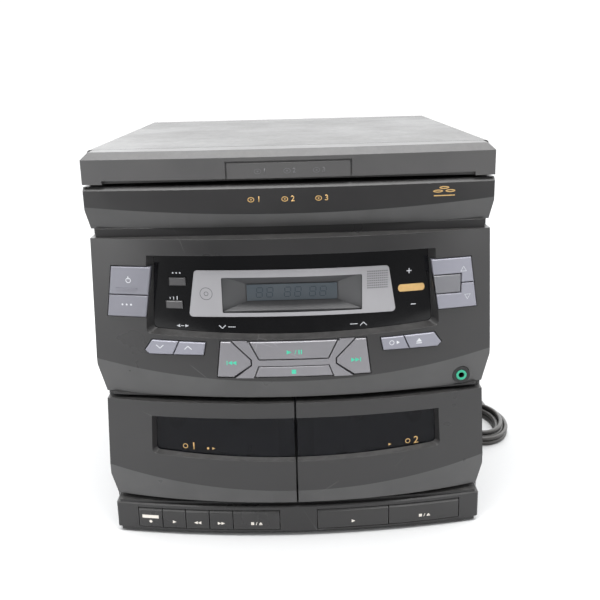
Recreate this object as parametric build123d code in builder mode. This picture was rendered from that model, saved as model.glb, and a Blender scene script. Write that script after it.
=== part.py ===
from build123d import *
import math
import os

# One-piece mini music system with a three-disc drawer changer on top, a tuner and amplifier with
# a display in the middle and a twin cassette deck below. Millimetres, +X right, +Y back, +Z up.
# The origin is the bottom centre of the set without its mains lead.

os.makedirs("parts", exist_ok=True)

# ---- cabinet ----
CABINET_W = 270.0
CABINET_D = 300.0
CABINET_H = 276.0
SHEET = 1.2                 # painted steel of the cover
WALL = 3.0                  # moulded front sections
PANEL = 2.0                 # rear panel and mechanism plates
SECTION_DEPTH = 20.0        # front sections, behind the front corner line
FOOT_H = 1.5
FOOT_R = 9.0
FOOT_INSET = 22.0
SEAT_GAP = 0.3              # between curved or moving neighbours at rest
CORNER_R = 2.0
CHIN_SLOPE = 12.0           # degrees, the undercut face at the foot of each front section


def across(x):
    """Width or place across the front, drawn on a cabinet 270 wide, for the width in use."""
    return x * CABINET_W / 270


def up(z):
    """Height above the floor, drawn on a cabinet 276 high, for the height in use."""
    return z * CABINET_H / 276


def layout(points):
    """Outline on the front, drawn on a cabinet 270 wide and 276 high, for the size in use."""
    return [(across(x), up(z)) for x, z in points]


# ---- front bow, at the middle against the corners ----
CHANGER_BOW = 8.0
MAIN_BOW = 20.0             # tuner section and cassette doors
BASE_BOW = 14.0
PLINTH_BOW = 11.0

# ---- places in the cabinet ----
TERMINAL_PROUD = 6.0
BUTTON_PROUD = 1.2
FRONT = -(CABINET_D + TERMINAL_PROUD - MAIN_BOW - BUTTON_PROUD) / 2
BACK = FRONT + CABINET_D
HALF_W = CABINET_W / 2
INNER_HALF = HALF_W - SHEET

# ---- front sections: heights above the floor and half widths ----
PLINTH_TOP = up(4.2)
PLINTH_HALF = HALF_W - 5.2
BASE_TOP = up(24.0)
BASE_HALF = HALF_W - 2.4
DOOR_LOW = up(29.5)
DOOR_HIGH = up(106.0)
DOOR_HALF = HALF_W + 0.6
DOOR_HALF_TOP = HALF_W - 3.4
DOOR_CHIN_HALF = HALF_W - 3.8
DOOR_CHIN_INSET = 4.2       # how far the foot of the chin stands back at the corners
DOOR_CHIN_MID = 2.16        # and in the middle
TUNER_LOW = up(109.8)
TUNER_HIGH = up(220.4)
TUNER_HALF = HALF_W + 2.6
TUNER_HALF_TOP = HALF_W - 2.0
TUNER_CHIN_HALF = HALF_W - 2.7
TUNER_CHIN_INSET = 4.0
TUNER_CHIN_MID = 2.6
CHANGER_LOW = up(226.0)
CHANGER_HIGH = up(253.8)
CHANGER_HALF = HALF_W + 0.4
CHANGER_CHIN_HALF = HALF_W - 2.2
CHANGER_CHIN_INSET = 2.8
CHANGER_CHIN_MID = 1.8
DRAWER_GAP = 1.6
DRAWER_LOW = CHANGER_HIGH + DRAWER_GAP
TOP_CHAMFER = 4.6
BAND_CHAMFER = 2.5
CHANNEL_INSET = 3.5         # how far the dark channels stand in from the corners

# ---- buttons ----
BUTTON_DEPTH = 8.0          # below the face
BUTTON_GAP = 0.6
BUTTON_BEVEL = 0.5
KEY_DEPTH = 9.0
KEY_PROUD = 0.3
KEY_BEVEL = 1.6

# ---- display ----
RECESS_DEPTH = 6.0
PANE = 2.0
PLATE = 0.8
RECESS_TOP = up(209.6)
RECESS_HALF_TOP = across(90.9)      # clear pane width, measured at RECESS_SIDE_Y
RECESS_HALF_LOW = across(95.0)
RECESS_SIDE_Y = -4.1
RECESS_FLOOR = up(154.3)    # foot of the pane at the middle
SIDE_SLOPE = 0.7
FLOOR_SLOPE = 0.36
RECESS_CORNER_R = 3.0
LCD_HALF = across(46.7)
LCD_LOW = up(169.1)
LCD_HIGH = up(193.5)
GLASS_HALF = across(30.8)
GLASS_LOW = up(174.5)
GLASS_HIGH = up(186.3)

# ---- cassette doors ----
DOOR_BACK = 12.0
DOOR_SPLIT = 1.3            # between the two doors
DOOR_WALL = 3.0
DOOR_WINDOW_TOP = up(95.0)
DOOR_WINDOW_LOW = up(64.6)
DOOR_WINDOW_SIDE = across(98.0)
DOOR_RECESS = 4.0
DOOR_PANE = 1.6
HINGE_Y = -5.0              # against the front corner line
HINGE_Z = DOOR_LOW + 3.0
HINGE_PIN_R = 2.0
HINGE_FIT = 0.06
LUG_R = 3.3
LUG_W = 3.4
LUG_INNER = 15.0            # inner side of the lug next to the split
LUG_OUTER = 68.0            # and of the one near the outer end
RIB = 2.4
RIB_H = 22.0                # above the hinge line
REEL_SPACING = 42.5
REEL_X = across(65.0)
REEL_Z = up(80.0)
REEL_R = 4.6
REEL_SHAFT_R = 1.5
SHAFT_FIT = 0.05

# ---- drawer and changer ----
DISC_R = 60.0
SMALL_DISC_R = 40.0
TRAY_HALF = INNER_HALF - 2.8
TRAY_LENGTH = CABINET_D - 43.0
TRAY_LOW = DRAWER_LOW + 2.1
TRAY_HIGH = TRAY_LOW + 5.5
TRAY_FLOOR = 2.2
DISC_SEAT = TRAY_LOW + 5.7  # underside of a loaded disc
CAROUSEL_R = TRAY_HALF - 13.0
DISC_PITCH_R = CAROUSEL_R - 48.4    # disc centres from the carousel centre
DRAWER_BACK = 19.0
CAROUSEL_H = 5.0
CAROUSEL_PIN_R = 4.0
CAROUSEL_Y = FRONT + DRAWER_BACK + DISC_PITCH_R + DISC_R + 0.9
CAROUSEL_Z = TRAY_LOW + TRAY_FLOOR + SEAT_GAP
SPINDLE_Y = CAROUSEL_Y + DISC_PITCH_R
DRAWER_TRAVEL = TRAY_LENGTH - 57.0
DECK_Z = TRAY_LOW - 23.5
RAIL_TOP = TRAY_HIGH + 5.0
RAIL_LEDGE = 5.0
GEAR_MODULE = 1.5
GEAR_TEETH = 18
GEAR_H = 2.6
GEAR_Y = 45.0
GEAR_HUB_H = 8.0
BACKLASH = 0.35
GEAR_SHAFT_R = 2.5
SPINDLE_R = 13.0
SPINDLE_TOP = TRAY_LOW - 5.0
ROD_R = 1.5
ROD_X = 16.0
ROD_Z = DECK_Z + 9.0
SLED_L = 20.0
CLAMP_R = 12.0

# ---- rear and lead ----
LEAD_R = 1.9
RELIEF_L = 32.0
RELIEF_X = HALF_W - 27.0
RELIEF_Z = 30.0


def bowed_block(half, bow, low, high, back=SECTION_DEPTH, grow=0.0, radius=0.0):
    """Upright block with a bowed front, grown outwards at the front and sides by `grow`."""
    with BuildPart() as block:
        with BuildSketch(Plane.XY.offset(low)):
            with BuildLine():
                ThreePointArc(
                    (-half - grow, FRONT - grow), (0, FRONT - bow - grow), (half + grow, FRONT - grow))
                Polyline(
                    (half + grow, FRONT - grow), (half + grow, FRONT + back),
                    (-half - grow, FRONT + back), (-half - grow, FRONT - grow))
            make_face()
        extrude(amount=high - low)
        if radius:
            fillet(block.edges().filter_by(Axis.Z).group_by(Axis.Y)[0], radius)
    return block.part


def chin_block(half, corner_inset, bow, low, high, grow=0.0):
    """Block that widens upwards from the inset foot of a section and so cuts its undercut chin."""
    with BuildPart() as block:
        with BuildSketch(Plane.XY.offset(low)):
            with BuildLine():
                ThreePointArc(
                    (-half - grow, FRONT + corner_inset - grow), (0, FRONT - bow - grow),
                    (half + grow, FRONT + corner_inset - grow))
                Polyline(
                    (half + grow, FRONT + corner_inset - grow), (half + grow, FRONT + 3 * SECTION_DEPTH),
                    (-half - grow, FRONT + 3 * SECTION_DEPTH), (-half - grow, FRONT + corner_inset - grow))
            make_face()
        extrude(amount=high - low, taper=-CHIN_SLOPE)
    return block.part


def face_prism(points, front, back, grow=0.0, radius=0.0):
    """Prism along Y between two depths, with its outline drawn as seen from the front."""
    with BuildPart() as prism:
        with BuildSketch(Plane.XZ.offset(-(FRONT + back))):
            Polygon(*points, align=None)
            if grow:
                offset(amount=grow, kind=Kind.INTERSECTION)
            if radius:
                fillet(vertices(), radius)
        extrude(amount=back - front)
    return prism.part


def mirrored(points):
    """The same outline on the other side of the set."""
    return [(-x, z) for x, z in reversed(points)]


def plain_box(x_low, x_high, y_low, y_high, z_low, z_high):
    """Box between limits, with depths counted from the front corner line."""
    with BuildPart() as box:
        with BuildSketch(Plane.XY.offset(z_low)):
            with Locations(((x_low + x_high) / 2, FRONT + (y_low + y_high) / 2)):
                Rectangle(x_high - x_low, y_high - y_low)
        extrude(amount=z_high - z_low)
    return box.part


def save(part, name):
    """Label one finished piece and write it."""
    part.label = name
    export_step(part, f"parts/{name}.step")


def section(half_low, half_top, chin_half, corner_inset, mid_inset, low, high, grow=0.0):
    """Solid front section with leaning sides and an undercut chin."""
    block = bowed_block(max(half_low, half_top), MAIN_BOW, low, high, grow=grow, radius=0)
    sides = face_prism(
        [(-half_low - grow, low), (half_low + grow, low), (half_top + grow, high), (-half_top - grow, high)],
        -2 * MAIN_BOW, 3 * SECTION_DEPTH)
    chin = chin_block(chin_half, corner_inset, MAIN_BOW - mid_inset, low, high, grow)
    return block & sides & chin


# ==== base: chassis, feet, key strip ====
TRANSFORMER_X = -across(80.0)
TRANSFORMER_Y = BACK - 71.0
with BuildPart() as bottom_chassis:
    with BuildSketch(Plane.XY.offset(FOOT_H)):
        with BuildLine():
            ThreePointArc((-PLINTH_HALF, FRONT), (0, FRONT - PLINTH_BOW), (PLINTH_HALF, FRONT))
            Polyline(
                (PLINTH_HALF, FRONT), (PLINTH_HALF, FRONT + SECTION_DEPTH), (INNER_HALF, FRONT + SECTION_DEPTH),
                (INNER_HALF, BACK - PANEL), (-INNER_HALF, BACK - PANEL), (-INNER_HALF, FRONT + SECTION_DEPTH),
                (-PLINTH_HALF, FRONT + SECTION_DEPTH), (-PLINTH_HALF, FRONT))
        make_face()
    extrude(amount=PLINTH_TOP - FOOT_H)
    # flanges that the cover is screwed to
    with BuildSketch(Plane.XY.offset(PLINTH_TOP)):
        with Locations(*[(s * (INNER_HALF - SHEET / 2), (FRONT + SECTION_DEPTH + BACK - PANEL) / 2)
                         for s in (-1, 1)]):
            Rectangle(SHEET, CABINET_D - SECTION_DEPTH - PANEL)
    extrude(amount=10.0)
    # cooling slots under the transformer
    with BuildSketch(Plane.XY.offset(FOOT_H)):
        with Locations((TRANSFORMER_X, TRANSFORMER_Y)):
            with GridLocations(9, 1, 6, 1):
                SlotOverall(44, 3.5, rotation=90)
    extrude(amount=PLINTH_TOP - FOOT_H, mode=Mode.SUBTRACT)
save(bottom_chassis.part, "bottom_chassis")

with BuildPart() as feet:
    with BuildSketch():
        with Locations(*[(s * (PLINTH_HALF - FOOT_INSET), y) for s in (-1, 1) for y in (FRONT + 14, BACK - 24)]):
            Circle(FOOT_R)
    extrude(amount=FOOT_H)
save(feet.part, "feet")

BANK_1 = [across(x) for x in (-116.2, -98.6, -81.4, -64.2, -47.0, -13.2)]
BANK_2 = [across(x) for x in (13.8, 65.4, 117.6)]
KEY_LOW = PLINTH_TOP + 1.4
KEY_HIGH = BASE_TOP - 3.2
KEY_NAMES_1 = ("record_key", "play_key_1", "rewind_key", "fast_forward_key", "stop_eject_key_1")
KEY_NAMES_2 = ("play_key_2", "stop_eject_key_2")

base_block = bowed_block(BASE_HALF, BASE_BOW, PLINTH_TOP, BASE_TOP, radius=CORNER_R)
base_core = bowed_block(
    BASE_HALF, BASE_BOW, PLINTH_TOP + WALL / 2, BASE_TOP - WALL / 2, back=SECTION_DEPTH + 1, grow=-WALL)
with BuildPart() as key_bezel:
    add(base_block)
    add(base_core, mode=Mode.SUBTRACT)
    for bank in (BANK_1, BANK_2):
        add(face_prism(
            [(bank[0], KEY_LOW), (bank[-1], KEY_LOW), (bank[-1], KEY_HIGH), (bank[0], KEY_HIGH)],
            -2 * BASE_BOW, SECTION_DEPTH - WALL, grow=BUTTON_GAP / 2), mode=Mode.SUBTRACT)
    top_front = key_bezel.faces().sort_by(Axis.Z)[-1].edges().filter_by(GeomType.CIRCLE).sort_by(Axis.Y)[0]
    chamfer(top_front, 0.8)
save(key_bezel.part, "key_bezel")

key_layer = bowed_block(BASE_HALF, BASE_BOW, KEY_LOW, KEY_HIGH, grow=KEY_PROUD) - bowed_block(
    BASE_HALF, BASE_BOW, 0, BASE_TOP, grow=-KEY_DEPTH)
for bank, names in ((BANK_1, KEY_NAMES_1), (BANK_2, KEY_NAMES_2)):
    for name, left, right in zip(names, bank, bank[1:]):
        with BuildPart() as key:
            add(face_prism(
                [(left, KEY_LOW), (right, KEY_LOW), (right, KEY_HIGH), (left, KEY_HIGH)],
                -2 * BASE_BOW, SECTION_DEPTH, grow=-BUTTON_GAP / 2))
            add(key_layer, mode=Mode.INTERSECT)
            front_face = key.faces().sort_by(Axis.Y)[0]
            chamfer(front_face.edges().sort_by(Axis.Z)[-1], KEY_BEVEL)
        save(key.part, name)

# ==== cassette section: frame, mechanism plate, reel spindles, doors, door windows ====
WELL_INNER = 13.0
WELL_OUTER = HALF_W - 17.0
WELL_LOW = HINGE_Z + 4.5
WELL_HIGH = DOOR_HIGH - 4.0
FRAME_FRONT = DOOR_BACK + 1.0
FRAME_BACK = SECTION_DEPTH

with BuildPart() as deck_frame:
    add(plain_box(-DOOR_HALF_TOP + 1, DOOR_HALF_TOP - 1, FRAME_FRONT, FRAME_BACK, BASE_TOP, TUNER_LOW))
    for side in (-1, 1):
        well = [(side * WELL_INNER, WELL_LOW), (side * WELL_OUTER, WELL_LOW),
                (side * WELL_OUTER, WELL_HIGH), (side * WELL_INNER, WELL_HIGH)]
        add(face_prism(well, FRAME_FRONT - 1, FRAME_BACK + 1, radius=2.0), mode=Mode.SUBTRACT)
    # shelf that closes the gap above the key strip
    add(bowed_block(DOOR_HALF_TOP - 2, BASE_BOW - 4, BASE_TOP, DOOR_LOW - 3.5, back=FRAME_FRONT))
    # strip behind the channel under the tuner section
    add(bowed_block(DOOR_HALF_TOP - CHANNEL_INSET, MAIN_BOW - 9, DOOR_HIGH + 2.4, TUNER_LOW, back=FRAME_FRONT))
    # hinge lugs
    for side in (-1, 1):
        for x in (LUG_INNER, LUG_OUTER):
            with BuildSketch(Plane.YZ.offset(min(side * x, side * (x + LUG_W)))):
                with BuildLine():
                    Polyline(
                        (FRONT + HINGE_Y, HINGE_Z - LUG_R), (FRONT + FRAME_FRONT, HINGE_Z - LUG_R),
                        (FRONT + FRAME_FRONT, HINGE_Z + LUG_R), (FRONT + HINGE_Y, HINGE_Z + LUG_R))
                    ThreePointArc(
                        (FRONT + HINGE_Y, HINGE_Z + LUG_R), (FRONT + HINGE_Y - LUG_R, HINGE_Z),
                        (FRONT + HINGE_Y, HINGE_Z - LUG_R))
                make_face()
            extrude(amount=LUG_W)
    with BuildSketch(Plane.YZ):
        with Locations((FRONT + HINGE_Y, HINGE_Z)):
            Circle(HINGE_PIN_R + HINGE_FIT)
    extrude(amount=DOOR_HALF_TOP, both=True, mode=Mode.SUBTRACT)
save(deck_frame.part, "deck_frame")

HEAD_Z = up(46.5)
CAPSTAN_X = 31.0            # from the middle of a cassette
reel_places = [
    (side * (REEL_X + turn * REEL_SPACING / 2), REEL_Z) for side in (-1, 1) for turn in (-1, 1)]
with BuildPart() as deck_plate:
    add(plain_box(-DOOR_HALF_TOP + 4, DOOR_HALF_TOP - 4, FRAME_BACK, FRAME_BACK + PANEL, DOOR_LOW, DOOR_HIGH))
    # head block, pinch roller arm and capstans under the reels of each well
    for side in (-1, 1):
        with BuildSketch(Plane.XZ.offset(-(FRONT + FRAME_BACK))):
            with Locations((side * REEL_X, HEAD_Z)):
                RectangleRounded(30, 11, 1.5)
        extrude(amount=9)
        with BuildSketch(Plane.XZ.offset(-(FRONT + FRAME_BACK))):
            with Locations(*[(side * REEL_X + dx, HEAD_Z - 1.5) for dx in (-CAPSTAN_X, CAPSTAN_X)]):
                Circle(5.5)
        extrude(amount=8)
        with BuildSketch(Plane.XZ.offset(-(FRONT + FRAME_BACK))):
            with Locations(*[(side * REEL_X + dx, HEAD_Z + 9.5) for dx in (-CAPSTAN_X, CAPSTAN_X)]):
                Circle(1.2)
        extrude(amount=12)
    # bearing bores of the reels, with bushes behind the plate
    with BuildSketch(Plane.XZ.offset(-(FRONT + FRAME_BACK + PANEL + 4))):
        with Locations(*reel_places):
            Circle(4.0)
    extrude(amount=4)
    with BuildSketch(Plane.XZ.offset(-(FRONT + FRAME_BACK + PANEL + 5))):
        with Locations(*reel_places):
            Circle(REEL_SHAFT_R + SHAFT_FIT)
    extrude(amount=PANEL + 6, mode=Mode.SUBTRACT)
save(deck_plate.part, "deck_plate")

REEL_NAMES = ("reel_takeup_1", "reel_supply_1", "reel_supply_2", "reel_takeup_2")
for name, (x, z) in zip(REEL_NAMES, reel_places):
    with BuildPart() as reel:
        with BuildSketch(Plane.XZ.offset(-(FRONT + FRAME_BACK - SEAT_GAP))):
            with Locations((x, z)):
                Circle(REEL_R + 1.6)
        extrude(amount=2.0)
        with BuildSketch(Plane.XZ.offset(-(FRONT + FRAME_BACK - SEAT_GAP - 2.0))):
            with Locations((x, z)):
                Circle(REEL_R - 1.4)
                with PolarLocations(REEL_R - 1.6, 3):
                    Rectangle(3.0, 1.4)
        extrude(amount=8.0)
        with BuildSketch(Plane.XZ.offset(-(FRONT + FRAME_BACK + PANEL + 3.5))):
            with Locations((x, z)):
                Circle(REEL_SHAFT_R)
        extrude(amount=PANEL + 3.5 + SEAT_GAP)
    save(reel.part, name)


def door_section(grow=0.0):
    return section(
        DOOR_HALF, DOOR_HALF_TOP, DOOR_CHIN_HALF, DOOR_CHIN_INSET, DOOR_CHIN_MID, DOOR_LOW, DOOR_HIGH, grow)


def window_slopes(half_top, half_low, floor, top):
    """Recess with sloping sides and floor and a straight top, lofted through the front."""
    with BuildPart() as recess:
        for depth in (-MAIN_BOW - 2, 3.0):
            spread = SIDE_SLOPE * (RECESS_SIDE_Y - depth)
            low = floor + FLOOR_SLOPE * (depth + MAIN_BOW - RECESS_DEPTH)
            with BuildSketch(Plane.XZ.offset(-(FRONT + depth))):
                Polygon(
                    (-half_low - spread, low), (half_low + spread, low),
                    (half_top + spread, top), (-half_top - spread, top), align=None)
                fillet(vertices().sort_by(Axis.Y)[:2], RECESS_CORNER_R)
        loft()
    return recess.part


door_shell = door_section() - (
    bowed_block(DOOR_HALF, MAIN_BOW, 0, DOOR_HIGH - DOOR_WALL, grow=-DOOR_WALL)
    & chin_block(
        DOOR_CHIN_HALF, DOOR_CHIN_INSET, MAIN_BOW - DOOR_CHIN_MID, DOOR_LOW - 1, DOOR_HIGH, grow=-DOOR_WALL)
    & face_prism(
        [(-DOOR_HALF + DOOR_WALL, 0), (DOOR_HALF - DOOR_WALL, 0),
         (DOOR_HALF_TOP - DOOR_WALL, DOOR_HIGH), (-DOOR_HALF_TOP + DOOR_WALL, DOOR_HIGH)],
        -2 * MAIN_BOW, 3 * SECTION_DEPTH))
door_frame_zone = face_prism(
    [(-DOOR_WINDOW_SIDE - 8, DOOR_WINDOW_LOW - 7), (DOOR_WINDOW_SIDE + 8, DOOR_WINDOW_LOW - 7),
     (DOOR_WINDOW_SIDE + 8, DOOR_WINDOW_TOP + 4), (-DOOR_WINDOW_SIDE - 8, DOOR_WINDOW_TOP + 4)],
    -2 * MAIN_BOW, DOOR_BACK)
door_bezel = (door_section() - bowed_block(
    DOOR_HALF, MAIN_BOW, 0, CABINET_H, grow=-DOOR_RECESS)) & door_frame_zone
door_trim = door_section() & plain_box(-CABINET_W, CABINET_W, -2 * MAIN_BOW, DOOR_BACK, 0, CABINET_H)
door_recess = window_slopes(
    DOOR_WINDOW_SIDE - 1.5, DOOR_WINDOW_SIDE + 0.5, DOOR_WINDOW_LOW, DOOR_WINDOW_TOP)
door_body = ((door_shell + door_bezel) & door_trim) - door_recess
door_pane_layer = bowed_block(DOOR_HALF, MAIN_BOW, 0, CABINET_H, grow=-DOOR_RECESS - SEAT_GAP) - bowed_block(
    DOOR_HALF, MAIN_BOW, 0, CABINET_H, grow=-DOOR_RECESS - SEAT_GAP - DOOR_PANE)

for number, side in ((1, -1), (2, 1)):
    x_split = DOOR_SPLIT / 2
    with BuildPart() as door:
        add(door_body)
        add(plain_box(
            min(side * x_split, side * CABINET_W), max(side * x_split, side * CABINET_W),
            -2 * MAIN_BOW, 2 * SECTION_DEPTH, 0, CABINET_H), mode=Mode.INTERSECT)
        # ribs and pins of the hinge, and guides of the cassette pocket
        for x, pin_low, pin_high in (
                (LUG_INNER + LUG_W + SEAT_GAP, LUG_INNER, LUG_INNER + LUG_W + SEAT_GAP),
                (LUG_OUTER - SEAT_GAP - RIB, LUG_OUTER - SEAT_GAP, LUG_OUTER + LUG_W)):
            with BuildSketch(Plane.YZ.offset(min(side * x, side * (x + RIB)))):
                with BuildLine():
                    Polyline(
                        (FRONT - MAIN_BOW, DOOR_LOW + 0.5), (FRONT + HINGE_Y + 3, DOOR_LOW + 0.5),
                        (FRONT + HINGE_Y + 3, HINGE_Z + 8), (FRONT - 8, HINGE_Z + RIB_H),
                        (FRONT - MAIN_BOW, HINGE_Z + RIB_H), (FRONT - MAIN_BOW, DOOR_LOW + 0.5))
                make_face()
            extrude(amount=RIB)
            with BuildSketch(Plane.YZ.offset(min(side * pin_low, side * pin_high))):
                with Locations((FRONT + HINGE_Y, HINGE_Z)):
                    Circle(HINGE_PIN_R)
            extrude(amount=pin_high - pin_low)
    save(door.part & door_trim, f"tape_door_{number}")

    pane_outline = [(x_split + 0.4, DOOR_WINDOW_LOW - 4), (DOOR_WINDOW_SIDE + 4, DOOR_WINDOW_LOW - 4),
                    (DOOR_WINDOW_SIDE + 4, DOOR_WINDOW_TOP + 3), (x_split + 0.4, DOOR_WINDOW_TOP + 3)]
    if side == -1:
        pane_outline = mirrored(pane_outline)
    with BuildPart() as door_window:
        add(face_prism(pane_outline, -2 * MAIN_BOW, DOOR_BACK))
        add(door_pane_layer, mode=Mode.INTERSECT)
    save(door_window.part, f"door_window_{number}")

# ==== tuner section: fascia, display, buttons, headphone socket ====


def tuner_section(grow=0.0):
    return section(
        TUNER_HALF, TUNER_HALF_TOP, TUNER_CHIN_HALF, TUNER_CHIN_INSET, TUNER_CHIN_MID, TUNER_LOW, TUNER_HIGH, grow)


BLOCK_HIGH = up(201.8)
BLOCK_LOW = up(167.5)
POWER_SPLIT = up(182.6)
VOLUME_SPLIT = up(184.6)
BASS_HIGH = up(190.7)
BASS_LOW = up(178.3)
BASS_X = across(113.2)


def block_edge(x_high, x_low, z):
    """Place across the front of a leaning edge of the button blocks at one height."""
    share = (BLOCK_HIGH - z) / (BLOCK_HIGH - BLOCK_LOW)
    return across(x_high + (x_low - x_high) * share)


def block_outline(side, top, bottom):
    """Leaning four-sided outline of the button block at one end of the display."""
    points = [(block_edge(92.7, 98.2, bottom), bottom), (block_edge(119.9, 125.1, bottom), bottom),
              (block_edge(119.9, 125.1, top), top), (block_edge(92.7, 98.2, top), top)]
    return points if side == 1 else mirrored(points)


HALF_GAP = BUTTON_GAP / 2

power_outline = block_outline(-1, BLOCK_HIGH, POWER_SPLIT + HALF_GAP)
function_outline = block_outline(-1, POWER_SPLIT - HALF_GAP, BLOCK_LOW)
volume_up_outline = block_outline(1, BLOCK_HIGH, VOLUME_SPLIT + HALF_GAP)
volume_down_outline = block_outline(1, VOLUME_SPLIT - HALF_GAP, BLOCK_LOW)
bass_outline = [(block_outline(1, BASS_HIGH, BASS_LOW)[0][0], BASS_LOW), (BASS_X, BASS_LOW),
                (BASS_X, BASS_HIGH), (block_outline(1, BASS_HIGH, BASS_LOW)[3][0], BASS_HIGH)]
bass_notch = [(across(80.0), BASS_LOW), (BASS_X, BASS_LOW), (BASS_X, BASS_HIGH), (across(80.0), BASS_HIGH)]



def pair_outlines(side, split_high, split_low):
    """Two leaning keys side by side, the outer one with a pointed end."""
    half = BUTTON_GAP / 2 * 270 / CABINET_W
    inner = [(60.6, 141.6), (split_low - half, 141.6), (split_high - half, 150.7), (58.8, 150.2)]
    outer = [(split_low + half, 141.6), (98.0, 141.6), (100.6, 144.2), (95.4, 151.4), (split_high + half, 150.8)]
    whole = [(60.6, 141.6), (98.0, 141.6), (100.6, 144.2), (95.4, 151.4), (58.8, 150.2)]
    outlines = [layout(points) for points in (inner, outer, whole)]
    return outlines if side == 1 else [mirrored(points) for points in outlines]


tuning_up_outline, tuning_down_outline, tuning_hole = pair_outlines(-1, 77.0, 81.4)
disc_skip_outline, open_close_outline, disc_hole = pair_outlines(1, 74.4, 78.4)

skip_outline = layout([(28.9, 134.4), (40.8, 126.0), (51.7, 126.2), (48.7, 150.9), (41.8, 150.9), (28.9, 137.9)])
play_outline = layout([(-23.2, 138.3), (23.2, 138.3), (29.3, 150.7), (-29.3, 150.7)])
stop_outline = layout([(-26.3, 125.9), (26.3, 125.9), (23.5, 133.1), (-23.5, 133.1)])
cluster_hole = layout([(-52.5, 125.2), (52.5, 125.2), (49.3, 151.4), (-49.3, 151.4)])
trim_outline = layout([(-39.6, 125.2), (39.6, 125.2), (28.1, 134.0), (28.1, 138.3), (40.9, 151.4),
                       (-40.9, 151.4), (-28.1, 138.3), (-28.1, 134.0)])
over_play = layout([(-31, 150.2), (31, 150.2), (31, 152), (-31, 152)])
under_stop = layout([(-27, 124.5), (27, 124.5), (27, 126.5), (-27, 126.5)])
memory_outline = layout([(-81.9, 188.0), (-70.6, 188.0), (-70.6, 193.4), (-81.9, 193.4)])
band_outline = layout([(-85.0, 172.0), (-73.6, 172.0), (-73.6, 177.3), (-85.0, 177.3)])
plate_outline = layout([(-69.6, 166.6), (69.6, 166.6), (64.5, 198.6), (-64.5, 198.6)])

JACK_X = across(116.3)
JACK_Z = up(117.2)
JACK_R = 6.0
JACK_BORE_R = 1.8
JACK_BORE_L = 15.0
JACK_FRONT = -4.2

pane_half_top = RECESS_HALF_TOP + 0.8
pane_half_low = RECESS_HALF_LOW + 1.4
pane_low = RECESS_FLOOR - 1.6
pane_high = RECESS_TOP + 2.4
frame_half = pane_half_low + 9
frame_zone = face_prism(
    [(-frame_half, pane_low - 8), (frame_half, pane_low - 8), (frame_half, pane_high + 4),
     (-frame_half, pane_high + 4)], -2 * MAIN_BOW, SECTION_DEPTH)
tuner_core = (
    bowed_block(TUNER_HALF, MAIN_BOW, TUNER_LOW + WALL, TUNER_HIGH - WALL, back=SECTION_DEPTH + 1, grow=-WALL)
    & chin_block(
        TUNER_CHIN_HALF, TUNER_CHIN_INSET, MAIN_BOW - TUNER_CHIN_MID, TUNER_LOW, TUNER_HIGH, grow=-WALL)
    & face_prism(
        [(-TUNER_HALF + WALL, TUNER_LOW), (TUNER_HALF - WALL, TUNER_LOW),
         (TUNER_HALF_TOP - WALL, TUNER_HIGH), (-TUNER_HALF_TOP + WALL, TUNER_HIGH)],
        -2 * MAIN_BOW, 3 * SECTION_DEPTH))
frame_ring = frame_zone - bowed_block(TUNER_HALF, MAIN_BOW, 0, CABINET_H, grow=-RECESS_DEPTH, back=CABINET_D)
display_recess = window_slopes(RECESS_HALF_TOP, RECESS_HALF_LOW, RECESS_FLOOR, RECESS_TOP)
with BuildPart() as tuner_fascia:
    add(tuner_section())
    add(tuner_core - frame_ring, mode=Mode.SUBTRACT)
    add(display_recess, mode=Mode.SUBTRACT)
    for hole in (block_outline(-1, BLOCK_HIGH, BLOCK_LOW), block_outline(1, BLOCK_HIGH, BLOCK_LOW),
                 tuning_hole, disc_hole):
        add(face_prism(hole, -2 * MAIN_BOW, SECTION_DEPTH, grow=BUTTON_GAP), mode=Mode.SUBTRACT)
    add(face_prism(cluster_hole, -2 * MAIN_BOW, SECTION_DEPTH), mode=Mode.SUBTRACT)
    with BuildSketch(Plane.XZ.offset(-(FRONT + SECTION_DEPTH))):
        with Locations((JACK_X, JACK_Z)):
            Circle(JACK_R + SEAT_GAP)
    extrude(amount=2 * SECTION_DEPTH, mode=Mode.SUBTRACT)
save(tuner_fascia.part, "tuner_fascia")

pane_layer = bowed_block(TUNER_HALF, MAIN_BOW, 0, CABINET_H, grow=-RECESS_DEPTH - SEAT_GAP) - bowed_block(
    TUNER_HALF, MAIN_BOW, 0, CABINET_H, grow=-RECESS_DEPTH - SEAT_GAP - PANE)
lcd_opening = [(-LCD_HALF, LCD_LOW), (LCD_HALF, LCD_LOW), (LCD_HALF, LCD_HIGH), (-LCD_HALF, LCD_HIGH)]
with BuildPart() as display_window:
    add(face_prism(
        [(-pane_half_low, pane_low), (pane_half_low, pane_low),
         (pane_half_top, pane_high), (-pane_half_top, pane_high)], -2 * MAIN_BOW, SECTION_DEPTH))
    add(pane_layer, mode=Mode.INTERSECT)
    add(face_prism(lcd_opening, -2 * MAIN_BOW, SECTION_DEPTH), mode=Mode.SUBTRACT)
    for outline in (memory_outline, band_outline):
        add(face_prism(outline, -2 * MAIN_BOW, SECTION_DEPTH, grow=BUTTON_GAP / 2), mode=Mode.SUBTRACT)
save(display_window.part, "display_window")

PLATE_CORNER_R = 2.5
plate_front = RECESS_DEPTH - PLATE
plate_layer = bowed_block(TUNER_HALF, MAIN_BOW, 0, CABINET_H, grow=-plate_front) - bowed_block(
    TUNER_HALF, MAIN_BOW, 0, CABINET_H, grow=-plate_front - PLATE)
with BuildPart() as display_plate:
    add(face_prism(plate_outline, -2 * MAIN_BOW, SECTION_DEPTH, radius=PLATE_CORNER_R))
    add(plate_layer, mode=Mode.INTERSECT)
    add(face_prism(lcd_opening, -2 * MAIN_BOW, SECTION_DEPTH, radius=1.0), mode=Mode.SUBTRACT)
save(display_plate.part, "display_plate")

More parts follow.
